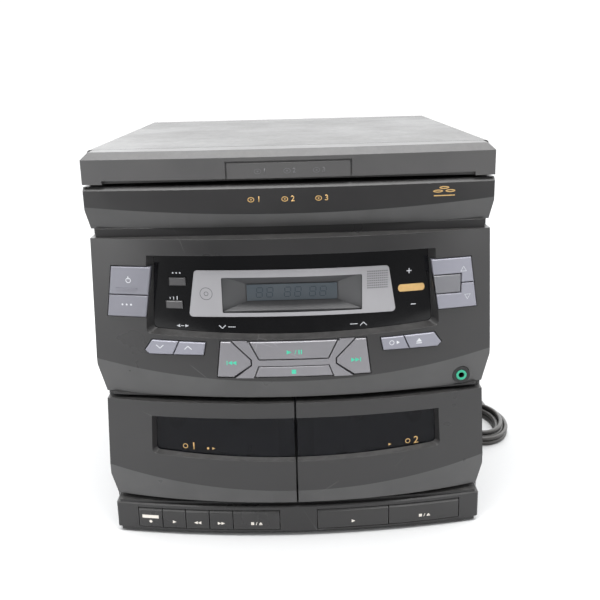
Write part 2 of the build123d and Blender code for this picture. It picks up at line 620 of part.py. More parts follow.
LCD_FRONT = -MAIN_BOW + RECESS_DEPTH + SEAT_GAP * 2 + PANE + 2.8
LCD_FUNNEL = 6.0
with BuildPart() as lcd_panel:
    add(plain_box(-LCD_HALF - 4, LCD_HALF + 4, LCD_FRONT, LCD_FRONT + LCD_FUNNEL + 6, LCD_LOW - 3, LCD_HIGH + 3))
    for depth, half, low, high in (
            (LCD_FRONT - 0.1, LCD_HALF, LCD_LOW, LCD_HIGH), (LCD_FRONT + LCD_FUNNEL, GLASS_HALF, GLASS_LOW, GLASS_HIGH)):
        with BuildSketch(Plane.XZ.offset(-(FRONT + depth))):
            with Locations((0, (low + high) / 2)):
                Rectangle(2 * half, high - low)
    loft(mode=Mode.SUBTRACT)
save(lcd_panel.part, "lcd_panel")

button_layer = bowed_block(TUNER_HALF, MAIN_BOW, 0, CABINET_H, grow=BUTTON_PROUD) - bowed_block(
    TUNER_HALF, MAIN_BOW, 0, CABINET_H, grow=-BUTTON_DEPTH)
small_layer = bowed_block(TUNER_HALF, MAIN_BOW, 0, CABINET_H, grow=-RECESS_DEPTH + BUTTON_PROUD) - bowed_block(
    TUNER_HALF, MAIN_BOW, 0, CABINET_H, grow=-RECESS_DEPTH - BUTTON_DEPTH)
buttons = {
    "power_button": (power_outline, button_layer), "function_button": (function_outline, button_layer),
    "volume_up_button": (volume_up_outline, button_layer),
    "volume_down_button": (volume_down_outline, button_layer),
    "bass_button": (bass_outline, button_layer), "tuning_up_button": (tuning_up_outline, button_layer),
    "tuning_down_button": (tuning_down_outline, button_layer),
    "disc_skip_button": (disc_skip_outline, button_layer),
    "open_close_button": (open_close_outline, button_layer),
    "skip_forward_button": (skip_outline, button_layer),
    "skip_back_button": (mirrored(skip_outline), button_layer),
    "play_button": (play_outline, button_layer), "stop_button": (stop_outline, button_layer),
    "memory_button": (memory_outline, small_layer), "band_button": (band_outline, small_layer)}
for name, (outline, layer) in buttons.items():
    with BuildPart() as button:
        add(face_prism(outline, -2 * MAIN_BOW, SECTION_DEPTH))
        if name in ("volume_up_button", "volume_down_button"):
            add(face_prism(bass_notch, -2 * MAIN_BOW, SECTION_DEPTH, grow=BUTTON_GAP), mode=Mode.SUBTRACT)
        add(layer, mode=Mode.INTERSECT)
        chamfer(button.faces().sort_by(Axis.Y)[0].edges(), BUTTON_BEVEL)
    save(button.part, name)

with BuildPart() as transport_trim:
    add(face_prism(trim_outline, -2 * MAIN_BOW, SECTION_DEPTH))
    for outline in (play_outline, stop_outline):
        add(face_prism(outline, -2 * MAIN_BOW, SECTION_DEPTH, grow=BUTTON_GAP), mode=Mode.SUBTRACT)
    for outline in (over_play, under_stop):
        add(face_prism(outline, -2 * MAIN_BOW, SECTION_DEPTH), mode=Mode.SUBTRACT)
    add(button_layer, mode=Mode.INTERSECT)
save(transport_trim.part, "transport_trim")

with BuildPart() as phones_jack:
    with BuildSketch(Plane.XZ.offset(-(FRONT + JACK_FRONT))):
        with Locations((JACK_X, JACK_Z)):
            Circle(JACK_R)
    extrude(amount=-(JACK_BORE_L + 2.0))
    with BuildSketch(Plane.XZ.offset(-(FRONT + JACK_FRONT))):
        with Locations((JACK_X, JACK_Z)):
            Circle(JACK_BORE_R)
    extrude(amount=-JACK_BORE_L, mode=Mode.SUBTRACT)
save(phones_jack.part, "phones_jack")

# ==== changer section: fascia, drawer, carousel, mechanism ====
changer_core = bowed_block(
    CHANGER_HALF, CHANGER_BOW, CHANGER_LOW + WALL, CHANGER_HIGH - WALL, back=SECTION_DEPTH + 1, grow=-WALL
) & chin_block(
    CHANGER_CHIN_HALF, CHANGER_CHIN_INSET, CHANGER_BOW - CHANGER_CHIN_MID, CHANGER_LOW, CHANGER_HIGH, grow=-WALL)
with BuildPart() as changer_fascia:
    add(bowed_block(CHANGER_HALF, CHANGER_BOW, CHANGER_LOW, CHANGER_HIGH))
    add(chin_block(
        CHANGER_CHIN_HALF, CHANGER_CHIN_INSET, CHANGER_BOW - CHANGER_CHIN_MID, CHANGER_LOW, CHANGER_HIGH),
        mode=Mode.INTERSECT)
    add(changer_core, mode=Mode.SUBTRACT)
    rim = changer_fascia.faces().sort_by(Axis.Z)[-1].edges().filter_by(GeomType.CIRCLE).sort_by(Axis.Y)[0]
    chamfer(rim, BAND_CHAMFER)
    # strip behind the channel over the tuner section
    add(bowed_block(TUNER_HALF_TOP - CHANNEL_INSET, MAIN_BOW - 16, TUNER_HIGH, CHANGER_LOW))
save(changer_fascia.part, "changer_fascia")

LIP_HALF = CHANGER_HALF - 13.2
LIP_H = 2.4
INSET_HALF = across(41.0)
INSET_TOP = DRAWER_LOW + up(13.6)
GROOVE = 1.2
with BuildPart() as drawer_front:
    add(bowed_block(CHANGER_HALF, CHANGER_BOW, DRAWER_LOW, CABINET_H, back=DRAWER_BACK))
    crown = drawer_front.faces().sort_by(Axis.Z)[-1].edges()
    chamfer(crown.sort_by(Axis.Y)[:-1], TOP_CHAMFER)
    # finger lip along the foot and a hollow back above the tray
    add(plain_box(-LIP_HALF, LIP_HALF, -2 * CHANGER_BOW, 3.0, DRAWER_LOW, DRAWER_LOW + LIP_H), mode=Mode.SUBTRACT)
    add(bowed_block(CHANGER_HALF, CHANGER_BOW, TRAY_HIGH + 1.5, CABINET_H - WALL, back=SECTION_DEPTH, grow=-TOP_CHAMFER),
        mode=Mode.SUBTRACT)
    groove_box = face_prism(
        [(-INSET_HALF, DRAWER_LOW), (INSET_HALF, DRAWER_LOW), (INSET_HALF, INSET_TOP), (-INSET_HALF, INSET_TOP)],
        -2 * CHANGER_BOW, SECTION_DEPTH) - face_prism(
        [(-INSET_HALF + GROOVE, 0), (INSET_HALF - GROOVE, 0), (INSET_HALF - GROOVE, INSET_TOP - GROOVE),
         (-INSET_HALF + GROOVE, INSET_TOP - GROOVE)], -3 * CHANGER_BOW, 2 * SECTION_DEPTH)
    add(groove_box - bowed_block(CHANGER_HALF, CHANGER_BOW, 0, CABINET_H, back=CABINET_D, grow=-1.0),
        mode=Mode.SUBTRACT)
save(drawer_front.part, "drawer_front")

# loading pinion and rack
PITCH_R = GEAR_MODULE * GEAR_TEETH / 2
PITCH = math.pi * GEAR_MODULE
RACK_X = -(TRAY_HALF - 11.5)        # pitch line of the rack on the tray
GEAR_X = RACK_X + PITCH_R
PRESSURE = math.radians(20)
ADDENDUM = 0.85 * GEAR_MODULE
DEDENDUM = 1.15 * GEAR_MODULE
RACK_LOW = CHANGER_HIGH + 0.4
TOOTH = (PITCH - BACKLASH) / 2


def involute(angle_at_pitch, radius, hand):
    """Point of a tooth flank at one radius, the flank crossing the pitch circle at the given angle."""
    base = PITCH_R * math.cos(PRESSURE)

    def roll(r):
        tilt = math.acos(min(1.0, base / r))
        return math.tan(tilt) - tilt
    turn = angle_at_pitch + hand * (roll(PITCH_R) - roll(max(radius, base)))
    return (radius * math.cos(turn), radius * math.sin(turn))


with BuildPart() as loading_gear:
    tooth_half = TOOTH / 2 / PITCH_R
    flank_radii = [PITCH_R - DEDENDUM + (ADDENDUM + DEDENDUM) * i / 4 for i in range(5)]
    with BuildSketch(Plane.XY.offset(RACK_LOW)):
        with Locations((GEAR_X, FRONT + GEAR_Y)):
            Circle(PITCH_R - DEDENDUM + 0.05)
            with PolarLocations(0, GEAR_TEETH):
                Polygon(
                    (0, 0), *[involute(-tooth_half, r, -1) for r in flank_radii],
                    *[involute(tooth_half, r, 1) for r in reversed(flank_radii)], align=None)
    extrude(amount=GEAR_H)
    # hub under the teeth, with the bore for the deck's post
    with BuildSketch(Plane.XY.offset(RACK_LOW - GEAR_HUB_H)):
        with Locations((GEAR_X, FRONT + GEAR_Y)):
            Circle(GEAR_SHAFT_R + 3)
    extrude(amount=GEAR_HUB_H)
    with BuildSketch(Plane.XY.offset(RACK_LOW - GEAR_HUB_H - 1)):
        with Locations((GEAR_X, FRONT + GEAR_Y)):
            Circle(GEAR_SHAFT_R + SHAFT_FIT)
    extrude(amount=GEAR_H + GEAR_HUB_H + 2, mode=Mode.SUBTRACT)
save(loading_gear.part, "loading_gear")

tray_front = DRAWER_BACK
tray_back = DRAWER_BACK + TRAY_LENGTH
PICKUP_SLOT = 23.0
rack_teeth = int((DRAWER_TRAVEL + 30) / PITCH)
rack_first = FRONT + GEAR_Y - 2.5 * PITCH
with BuildPart() as drawer_tray:
    with BuildSketch(Plane.XY.offset(TRAY_LOW)):
        with Locations((0, FRONT + (tray_front + tray_back) / 2)):
            RectangleRounded(2 * TRAY_HALF, TRAY_LENGTH, 3)
        with Locations((0, FRONT + tray_front + 10)):
            Rectangle(2 * TRAY_HALF, 20)
    extrude(amount=TRAY_HIGH - TRAY_LOW)
    with BuildSketch(Plane.XY.offset(TRAY_LOW + TRAY_FLOOR)):
        with Locations((0, CAROUSEL_Y)):
            Circle(CAROUSEL_R + 1.5)
    extrude(amount=TRAY_HIGH, mode=Mode.SUBTRACT)
    # way through the floor for the pick-up, open at the back
    with BuildSketch(Plane.XY.offset(TRAY_LOW)):
        with Locations((0, SPINDLE_Y)):
            Circle(PICKUP_SLOT)
        with Locations((0, SPINDLE_Y + DISC_R)):
            Rectangle(2 * PICKUP_SLOT, 2 * DISC_R)
    extrude(amount=TRAY_HIGH - TRAY_LOW, mode=Mode.SUBTRACT)
    # post that the carousel turns on
    with BuildSketch(Plane.XY.offset(TRAY_LOW + TRAY_FLOOR)):
        with Locations((0, CAROUSEL_Y)):
            Circle(CAROUSEL_PIN_R)
    extrude(amount=CAROUSEL_H - 0.5)
    # rack along the left edge, its teeth towards the middle
    with BuildSketch(Plane.XY.offset(RACK_LOW)):
        with Locations((RACK_X - DEDENDUM - 1.25, rack_first + rack_teeth * PITCH / 2 - PITCH / 2)):
            Rectangle(2.5, rack_teeth * PITCH)
        slope = math.tan(PRESSURE)
        with Locations(*[(RACK_X, rack_first + i * PITCH) for i in range(rack_teeth)]):
            Polygon(
                (-DEDENDUM - 0.05, -TOOTH / 2 - DEDENDUM * slope), (ADDENDUM, -TOOTH / 2 + ADDENDUM * slope),
                (ADDENDUM, TOOTH / 2 - ADDENDUM * slope), (-DEDENDUM - 0.05, TOOTH / 2 + DEDENDUM * slope),
                align=None)
    extrude(amount=TRAY_LOW - RACK_LOW)
save(drawer_tray.part, "drawer_tray")

with BuildPart() as carousel:
    with BuildSketch(Plane.XY.offset(CAROUSEL_Z)):
        with Locations((0, CAROUSEL_Y)):
            Circle(CAROUSEL_R)
    extrude(amount=CAROUSEL_H)
    # three seats, the small-disc seats inside them and the ways for the pick-up
    with BuildSketch(Plane.XY.offset(DISC_SEAT)):
        with Locations((0, CAROUSEL_Y)):
            with PolarLocations(DISC_PITCH_R, 3, start_angle=90):
                Circle(DISC_R + 0.6)
    extrude(amount=CAROUSEL_H, mode=Mode.SUBTRACT)
    with BuildSketch(Plane.XY.offset(DISC_SEAT - 1.2)):
        with Locations((0, CAROUSEL_Y)):
            with PolarLocations(DISC_PITCH_R, 3, start_angle=90):
                Circle(SMALL_DISC_R + 0.5)
    extrude(amount=CAROUSEL_H, mode=Mode.SUBTRACT)
    with BuildSketch(Plane.XY.offset(CAROUSEL_Z)):
        with Locations((0, CAROUSEL_Y)):
            with PolarLocations(DISC_PITCH_R, 3, start_angle=90):
                Circle(PICKUP_SLOT - 3)
            with PolarLocations(DISC_PITCH_R + DISC_R / 2, 3, start_angle=90):
                Rectangle(DISC_R, 2 * (PICKUP_SLOT - 7))
            Circle(CAROUSEL_PIN_R + SHAFT_FIT)
    extrude(amount=CAROUSEL_H, mode=Mode.SUBTRACT)
save(carousel.part, "carousel")

RAIL_IN = TRAY_HALF + 0.4
deck_front = SECTION_DEPTH + 2.0
deck_back = CABINET_D - PANEL - 1.0
rod_low = SPINDLE_Y + SPINDLE_R + 1.0
rod_high = FRONT + deck_back - 11.9
with BuildPart() as changer_deck:
    add(plain_box(-INNER_HALF, INNER_HALF, deck_front, deck_back, DECK_Z, DECK_Z + PANEL))
    for side in (-1, 1):
        add(plain_box(
            min(side * RAIL_IN, side * INNER_HALF), max(side * RAIL_IN, side * INNER_HALF),
            deck_front, deck_back, DECK_Z, RAIL_TOP))
        add(plain_box(
            min(side * (RAIL_IN - RAIL_LEDGE), side * INNER_HALF), max(side * (RAIL_IN - RAIL_LEDGE), side * INNER_HALF),
            deck_front, deck_back, TRAY_LOW - SEAT_GAP - 3, TRAY_LOW - SEAT_GAP))
    # window for the sled
    with BuildSketch(Plane.XY.offset(DECK_Z)):
        with Locations((0, (rod_low + rod_high) / 2)):
            Rectangle(2 * ROD_X + 10, rod_high - rod_low)
    extrude(amount=PANEL, mode=Mode.SUBTRACT)
    # rods and the blocks that hold their ends
    for y, thick in ((rod_low - 2.5, 2.5), (rod_high, 2.5)):
        with BuildSketch(Plane.XY.offset(DECK_Z + PANEL)):
            with Locations((0, y + thick / 2)):
                Rectangle(2 * ROD_X + 8, thick)
        extrude(amount=ROD_Z + 3 - DECK_Z - PANEL)
    with BuildSketch(Plane.XZ.offset(-(rod_high + 1))):
        with Locations((-ROD_X, ROD_Z), (ROD_X, ROD_Z)):
            Circle(ROD_R)
    extrude(amount=rod_high - rod_low + 2)
    # spindle bearing with its motor body under the plate
    with BuildSketch(Plane.XY.offset(DECK_Z - 8)):
        with Locations((0, SPINDLE_Y)):
            Circle(10)
    extrude(amount=SPINDLE_TOP - 3 - SEAT_GAP - DECK_Z + 8)
    with BuildSketch(Plane.XY.offset(DECK_Z - 5)):
        with Locations((0, SPINDLE_Y)):
            Circle(ROD_R + SHAFT_FIT)
    extrude(amount=CABINET_H, mode=Mode.SUBTRACT)
    # post of the loading pinion
    with BuildSketch(Plane.XY.offset(DECK_Z + PANEL)):
        with Locations((GEAR_X, FRONT + GEAR_Y)):
            Circle(GEAR_SHAFT_R + 2.5)
    extrude(amount=RACK_LOW - GEAR_HUB_H - SEAT_GAP - DECK_Z - PANEL)
    with BuildSketch(Plane.XY.offset(DECK_Z + PANEL)):
        with Locations((GEAR_X, FRONT + GEAR_Y)):
            Circle(GEAR_SHAFT_R)
    extrude(amount=RACK_LOW + GEAR_H - DECK_Z - PANEL)
save(changer_deck.part, "changer_deck")

with BuildPart() as disc_spindle:
    with BuildSketch(Plane.XY.offset(SPINDLE_TOP - 3)):
        with Locations((0, SPINDLE_Y)):
            Circle(SPINDLE_R)
    extrude(amount=3)
    with BuildSketch(Plane.XY.offset(SPINDLE_TOP)):
        with Locations((0, SPINDLE_Y)):
            Circle(7.3)
    extrude(amount=3.2, taper=22)
    with BuildSketch(Plane.XY.offset(DECK_Z - 4)):
        with Locations((0, SPINDLE_Y)):
            Circle(ROD_R)
    extrude(amount=SPINDLE_TOP - DECK_Z + 2)
save(disc_spindle.part, "disc_spindle")

SLED_GAP = 0.4
with BuildPart() as pickup_sled:
    with BuildSketch(Plane.XY.offset(ROD_Z - 4)):
        with Locations((0, rod_low + SLED_GAP + SLED_L / 2)):
            Rectangle(2 * ROD_X + 7, SLED_L)
    extrude(amount=8)
    with BuildSketch(Plane.XY.offset(ROD_Z + 4)):
        with Locations((0, rod_low + SLED_GAP + SLED_L / 2)):
            Circle(5.0)
    extrude(amount=2.4)
    fillet(pickup_sled.edges().group_by(Axis.Z)[-1], 0.8)
    with BuildSketch(Plane.XZ.offset(-(rod_high + 2))):
        with Locations((-ROD_X, ROD_Z), (ROD_X, ROD_Z)):
            Circle(ROD_R + SHAFT_FIT)
    extrude(amount=rod_high - rod_low + 4, mode=Mode.SUBTRACT)
save(pickup_sled.part, "pickup_sled")

BRIDGE_H = 2.0
with BuildPart() as clamp_bridge:
    with BuildSketch(Plane.XY.offset(RAIL_TOP)):
        with Locations((0, SPINDLE_Y)):
            Rectangle(2 * INNER_HALF, 30)
            Circle(24)
    extrude(amount=BRIDGE_H)
    with BuildSketch(Plane.XY.offset(RAIL_TOP)):
        with Locations((0, SPINDLE_Y)):
            Circle(CLAMP_R + SEAT_GAP)
    extrude(amount=BRIDGE_H, mode=Mode.SUBTRACT)
save(clamp_bridge.part, "clamp_bridge")

with BuildPart() as disc_clamp:
    with BuildSketch(Plane.XY.offset(RAIL_TOP - 2.2)):
        with Locations((0, SPINDLE_Y)):
            Circle(CLAMP_R)
    extrude(amount=2.2 + BRIDGE_H + SEAT_GAP)
    with BuildSketch(Plane.XY.offset(RAIL_TOP + BRIDGE_H + SEAT_GAP)):
        with Locations((0, SPINDLE_Y)):
            Circle(CLAMP_R + 4)
    extrude(amount=1.6)
save(disc_clamp.part, "disc_clamp")

# ==== cover, rear panel and what stands inside ====
cover_front = SECTION_DEPTH
with BuildPart() as top_cover:
    add(plain_box(-HALF_W, HALF_W, cover_front, CABINET_D, PLINTH_TOP, CABINET_H))
    fillet(top_cover.edges().filter_by(Axis.Y).group_by(Axis.Z)[-1], 2.0)
    add(plain_box(-INNER_HALF, INNER_HALF, cover_front - 1, CABINET_D + 1, 0, CABINET_H - SHEET), mode=Mode.SUBTRACT)
    # cooling slots in both sides, low at the back
    with BuildSketch(Plane.YZ):
        with Locations((BACK - 60, 60)):
            with GridLocations(7, 1, 9, 1):
                SlotOverall(40, 2.6, rotation=90)
    extrude(amount=CABINET_W, both=True, mode=Mode.SUBTRACT)
save(top_cover.part, "top_cover")

TERMINAL_X = -across(95.0)
TERMINAL_Z = 60.0
TERMINAL_W = 62.0
TERMINAL_H = 26.0
with BuildPart() as rear_panel:
    add(plain_box(-INNER_HALF, INNER_HALF, CABINET_D - PANEL, CABINET_D, FOOT_H, CABINET_H - SHEET))
    with BuildSketch(Plane.XZ.offset(-BACK)):
        with Locations((0, up(190.0))):
            with GridLocations(10, 46, 16, 2):
                SlotOverall(38, 4, rotation=90)
        with Locations((TERMINAL_X, TERMINAL_Z)):
            Rectangle(TERMINAL_W, TERMINAL_H)
        with Locations((RELIEF_X, RELIEF_Z)):
            Circle(6.0)
    extrude(amount=PANEL, mode=Mode.SUBTRACT)
save(rear_panel.part, "rear_panel")

with BuildPart() as speaker_terminals:
    add(plain_box(
        TERMINAL_X - TERMINAL_W / 2, TERMINAL_X + TERMINAL_W / 2, CABINET_D - PANEL - 14, CABINET_D,
        TERMINAL_Z - TERMINAL_H / 2, TERMINAL_Z + TERMINAL_H / 2))
    with BuildSketch(Plane.XZ.offset(-BACK)):
        with Locations((TERMINAL_X, TERMINAL_Z + 5)):
            with GridLocations(14, 1, 4, 1):
                Rectangle(8, 9)
    extrude(amount=-TERMINAL_PROUD)
    with BuildSketch(Plane.XZ.offset(-BACK)):
        with Locations((TERMINAL_X, TERMINAL_Z - 7)):
            with GridLocations(14, 1, 4, 1):
                Circle(1.8)
    extrude(amount=8, mode=Mode.SUBTRACT)
save(speaker_terminals.part, "speaker_terminals")

with BuildPart() as transformer:
    # foot plate, laminated core and winding, each a half length, half depth, foot and height
    for half_l, half_d, low, high in ((32, 27, 0, 4), (26, 19, 4, 50), (16, 29, 10, 42)):
        with BuildSketch(Plane.XY.offset(PLINTH_TOP + low)):
            with Locations((TRANSFORMER_X, TRANSFORMER_Y)):
                Rectangle(2 * half_l, 2 * half_d)
        extrude(amount=high - low)
save(transformer.part, "transformer")

# ==== mains lead: strain relief, tube, loose coil beside the set, tail and plug ====
with BuildPart() as strain_relief:
    with BuildSketch(Plane.XZ.offset(-BACK)):
        with Locations((RELIEF_X, RELIEF_Z)):
            Circle(8.5)
    extrude(amount=-3)
    with BuildSketch(Plane.XZ.offset(-BACK)):
        with Locations((RELIEF_X, RELIEF_Z)):
            Circle(5.7)
    extrude(amount=PANEL + 4)
    with BuildSketch(Plane.XZ.offset(-(BACK + 3))):
        with Locations((RELIEF_X, RELIEF_Z)):
            Circle(5.6)
    with BuildSketch(Plane.XZ.offset(-(BACK + RELIEF_L))):
        with Locations((RELIEF_X, RELIEF_Z)):
            Circle(LEAD_R + 0.8)
    loft()
save(strain_relief.part, "strain_relief")

FLOOR = LEAD_R + 0.2        # height of a lead that lies on the floor
COIL_X = HALF_W + 31.5
COIL_Y = FRONT + 160.0
COIL_A = 28.5               # half width of the loose coil
COIL_B = 40.0               # half length
COIL_BAND = 13.0
COIL_H = 11.5
PLUG_X = RELIEF_X - 56.0
PLUG_Y = BACK + 44.0
PLUG_W = 20.0
PLUG_H = 14.0
PLUG_L = 26.0
BLADE_SPACING = 12.7

lead_points = [
    (RELIEF_X, BACK + RELIEF_L, RELIEF_Z), (RELIEF_X, BACK + 52, RELIEF_Z), (RELIEF_X + 12, BACK + 78, 14.0),
    (RELIEF_X + 38, BACK + 90, FLOOR), (RELIEF_X + 62, BACK + 76, FLOOR), (RELIEF_X + 72, BACK + 46, FLOOR),
    (RELIEF_X + 74, BACK + 8, FLOOR), (RELIEF_X + 70, BACK - 34, FLOOR), (RELIEF_X + 74, BACK - 76, FLOOR),
    (COIL_X + COIL_A - 12.5, COIL_Y + COIL_B - 8, FLOOR)]
tail_points = [
    (COIL_X - 12, COIL_Y + COIL_B - 6, FLOOR), (COIL_X - 14, BACK - 62, FLOOR), (COIL_X - 10, BACK - 24, FLOOR),
    (COIL_X - 14, BACK + 14, FLOOR), (COIL_X - 36, BACK + 40, FLOOR), (COIL_X - 70, PLUG_Y, FLOOR),
    (PLUG_X, PLUG_Y, FLOOR)]


def lead_tube(points):
    """Tube along straight runs joined by tangent arcs as large as the runs allow."""
    ends = [Vector(*point) for point in points]
    radii = []
    for before, here, after in zip(ends, ends[1:], ends[2:]):
        turn = math.radians((here - before).get_angle(after - here))
        shorter = min((here - before).length, (after - here).length)
        radii.append(0.45 * shorter / math.tan(turn / 2))
    print("lead radii", [round(r, 1) for r in radii])
    with BuildPart() as tube:
        with BuildLine() as path:
            FilletPolyline(*ends, radius=radii)
        with BuildSketch(Plane(origin=ends[0], z_dir=ends[1] - ends[0])):
            Circle(LEAD_R)
        sweep()
    length = path.wires()[0].length
    print("lead length", round(length, 1), "volume ratio", round(tube.part.volume / (math.pi * LEAD_R**2 * length), 4))
    return tube.part


save(lead_tube(lead_points), "mains_cord")
save(lead_tube(tail_points), "cord_tail")

with BuildPart() as cord_coil:
    with BuildSketch(Plane.XY.offset(0.2)):
        with Locations((COIL_X, COIL_Y)):
            Ellipse(COIL_A, COIL_B)
            Ellipse(COIL_A - COIL_BAND, COIL_B - COIL_BAND, mode=Mode.SUBTRACT)
    extrude(amount=COIL_H)
save(cord_coil.part, "cord_coil")

with BuildPart() as mains_plug:
    with BuildSketch(Plane.YZ.offset(PLUG_X)):
        with Locations((PLUG_Y, PLUG_H / 2)):
            RectangleRounded(PLUG_W, PLUG_H, 4)
    extrude(amount=-PLUG_L)
    with BuildSketch(Plane.YZ.offset(PLUG_X - PLUG_L)):
        with Locations((PLUG_Y, PLUG_H / 2)):
            with GridLocations(BLADE_SPACING, 1, 2, 1):
                Rectangle(1.5, 6.4)
    extrude(amount=-17)
save(mains_plug.part, "mains_plug")
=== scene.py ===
import bmesh
import bpy
import math
from mathutils import Matrix, Vector


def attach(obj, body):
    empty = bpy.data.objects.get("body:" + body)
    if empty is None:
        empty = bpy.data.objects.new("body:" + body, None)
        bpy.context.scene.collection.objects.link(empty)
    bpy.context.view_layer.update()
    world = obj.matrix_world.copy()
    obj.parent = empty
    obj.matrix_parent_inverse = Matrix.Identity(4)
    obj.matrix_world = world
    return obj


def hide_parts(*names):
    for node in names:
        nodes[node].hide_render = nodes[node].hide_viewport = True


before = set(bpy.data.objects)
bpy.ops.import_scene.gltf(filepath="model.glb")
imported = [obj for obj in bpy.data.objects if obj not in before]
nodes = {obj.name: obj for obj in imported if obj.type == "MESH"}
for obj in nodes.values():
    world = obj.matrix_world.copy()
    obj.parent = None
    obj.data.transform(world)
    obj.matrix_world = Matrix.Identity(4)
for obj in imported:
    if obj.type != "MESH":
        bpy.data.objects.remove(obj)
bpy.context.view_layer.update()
scene = bpy.context.scene

# ==== camera ====
# A 49 mm lens on a 36 mm frame, a little above the set and aimed down at it,
# with the slight tilt to one side of a hand-held shot.
MM = 0.001
FRONT = -0.1424            # the front corner line of the cabinet
BACK = 0.1576              # the back of the cabinet
camera_data = bpy.data.cameras.new("camera")
camera_data.lens = 49.3
camera_data.sensor_width = 36.0
camera = bpy.data.objects.new("camera", camera_data)
scene.collection.objects.link(camera)
camera.matrix_world = (
    Matrix.Translation((0.0019, FRONT - 0.539, 0.3273))
    @ Matrix.Rotation(math.radians(-0.36), 4, "Z")
    @ Matrix.Rotation(math.radians(90 - 15.94), 4, "X")
    @ Matrix.Rotation(math.radians(-1.45), 4, "Z"))
scene.camera = camera
scene.view_settings.view_transform = "Standard"

# ==== light ====
# A white photo tent, open and dim towards the camera, brightest behind and overhead, with a long
# soft box above the front edge and smaller ones at the left front, right front and back.
OPEN_SIDE = 0.33           # strength of the tent on its dim open side
SEEN_WHITE = 1.1           # strength of the backdrop as the camera sees it
world = bpy.data.worlds.new("tent")
scene.world = world
world.use_nodes = True
tree = world.node_tree
tree.nodes.clear()
direction = tree.nodes.new("ShaderNodeTexCoord")
axes = tree.nodes.new("ShaderNodeSeparateXYZ")
tree.links.new(direction.outputs["Generated"], axes.inputs[0])
strength = None
for axis, edge, full, amount in (
        ("Y", -0.55, 0.35, 1.6), ("X", -0.30, -0.70, 0.3), ("X", 0.30, 0.70, 0.15),
        ("Z", 0.35, 0.95, 0.75)):
    wall = tree.nodes.new("ShaderNodeMapRange")
    wall.inputs["From Min"].default_value = edge
    wall.inputs["From Max"].default_value = full
    wall.inputs["To Max"].default_value = amount
    tree.links.new(axes.outputs[axis], wall.inputs["Value"])
    total = tree.nodes.new("ShaderNodeMath")
    total.inputs[0].default_value = OPEN_SIDE
    if strength:
        tree.links.new(strength, total.inputs[0])
    tree.links.new(wall.outputs["Result"], total.inputs[1])
    strength = total.outputs[0]
tent = tree.nodes.new("ShaderNodeBackground")
tent.inputs["Color"].default_value = (0.98, 0.99, 1.0, 1)
tree.links.new(strength, tent.inputs["Strength"])
seen = tree.nodes.new("ShaderNodeBackground")
seen.inputs["Color"].default_value = (1, 1, 1, 1)
seen.inputs["Strength"].default_value = SEEN_WHITE
path = tree.nodes.new("ShaderNodeLightPath")
choose = tree.nodes.new("ShaderNodeMixShader")
tree.links.new(path.outputs["Is Camera Ray"], choose.inputs["Fac"])
tree.links.new(tent.outputs[0], choose.inputs[1])
tree.links.new(seen.outputs[0], choose.inputs[2])
world_out = tree.nodes.new("ShaderNodeOutputWorld")
tree.links.new(choose.outputs[0], world_out.inputs["Surface"])

for name, place, target, size, depth, power in (
        ("soft_box_top", (0, -0.42, 1.1), (0, -0.17, 0.26), 1.1, 0.26, 10.0),
        ("soft_box_left", (-0.85, -0.96, 0.16), (0, -0.1, 0.16), 0.36, 0.46, 2.1),
        ("soft_box_right", (0.85, -0.96, 0.14), (0, -0.1, 0.16), 0.30, 0.40, 1.2),
        ("soft_box_back", (-0.75, 1.3, 0.5), (-0.05, 0.0, 0.27), 0.9, 0.6, 0.8)):
    lamp_data = bpy.data.lights.new(name, "AREA")
    lamp_data.shape = "RECTANGLE"
    lamp_data.size = size
    lamp_data.size_y = depth
    lamp_data.energy = power
    lamp = bpy.data.objects.new(name, lamp_data)
    scene.collection.objects.link(lamp)
    lamp.matrix_world = Matrix.Translation(place) @ (
        Vector(target) - Vector(place)).to_track_quat("-Z", "Y").to_matrix().to_4x4()

# ==== floor ====
# The white paper that the set stands on. It ends short of the camera.
PAPER_MIDDLE = (0, 0.95, 0)
PAPER_HALF = (1.6, 1.55)
bm = bmesh.new()
bmesh.ops.create_grid(bm, x_segments=1, y_segments=1, size=1.0,
                      matrix=Matrix.Translation(PAPER_MIDDLE) @ Matrix.Diagonal((*PAPER_HALF, 1, 1)))
floor_mesh = bpy.data.meshes.new("paper_floor")
bm.to_mesh(floor_mesh)
bm.free()
floor = bpy.data.objects.new("paper_floor", floor_mesh)
scene.collection.objects.link(floor)
paper = bpy.data.materials.new("white_paper")
paper.use_nodes = True
paper_shader = paper.node_tree.nodes["Principled BSDF"]
paper_shader.inputs["Base Color"].default_value = (0.68, 0.68, 0.68, 1)
paper_shader.inputs["Roughness"].default_value = 0.9
paper_shader.inputs["Specular IOR Level"].default_value = 0.1
floor.data.materials.append(paper)

# ==== mains lead ====
# A thin dark PVC lead of 1.7 m: out of the strain relief at the back, down to the floor, round
# the right rear corner, seven loose oval turns beside the set, and back to its plug behind it.
LEAD_R = 0.0019
LEAD_Z = 0.0021
COIL = (0.1665, FRONT + 0.160)
RELIEF = (0.108, BACK + 0.032, 0.030)
route = [
    RELIEF, (0.108, BACK + 0.052, 0.030), (0.120, BACK + 0.078, 0.014), (0.146, BACK + 0.090, LEAD_Z),
    (0.170, BACK + 0.076, LEAD_Z), (0.180, BACK + 0.046, LEAD_Z), (0.182, BACK + 0.008, LEAD_Z),
    (0.178, BACK - 0.034, LEAD_Z), (0.182, BACK - 0.076, LEAD_Z)]
TURN_POINTS = 14
turns = (
    (0.0258, 0.0378, LEAD_Z), (0.0216, 0.0336, LEAD_Z), (0.0174, 0.0294, LEAD_Z),
    (0.0180, 0.0302, 0.0062), (0.0222, 0.0344, 0.0061), (0.0262, 0.0380, 0.0063), (0.0215, 0.0330, 0.0101))
START = math.radians(50)
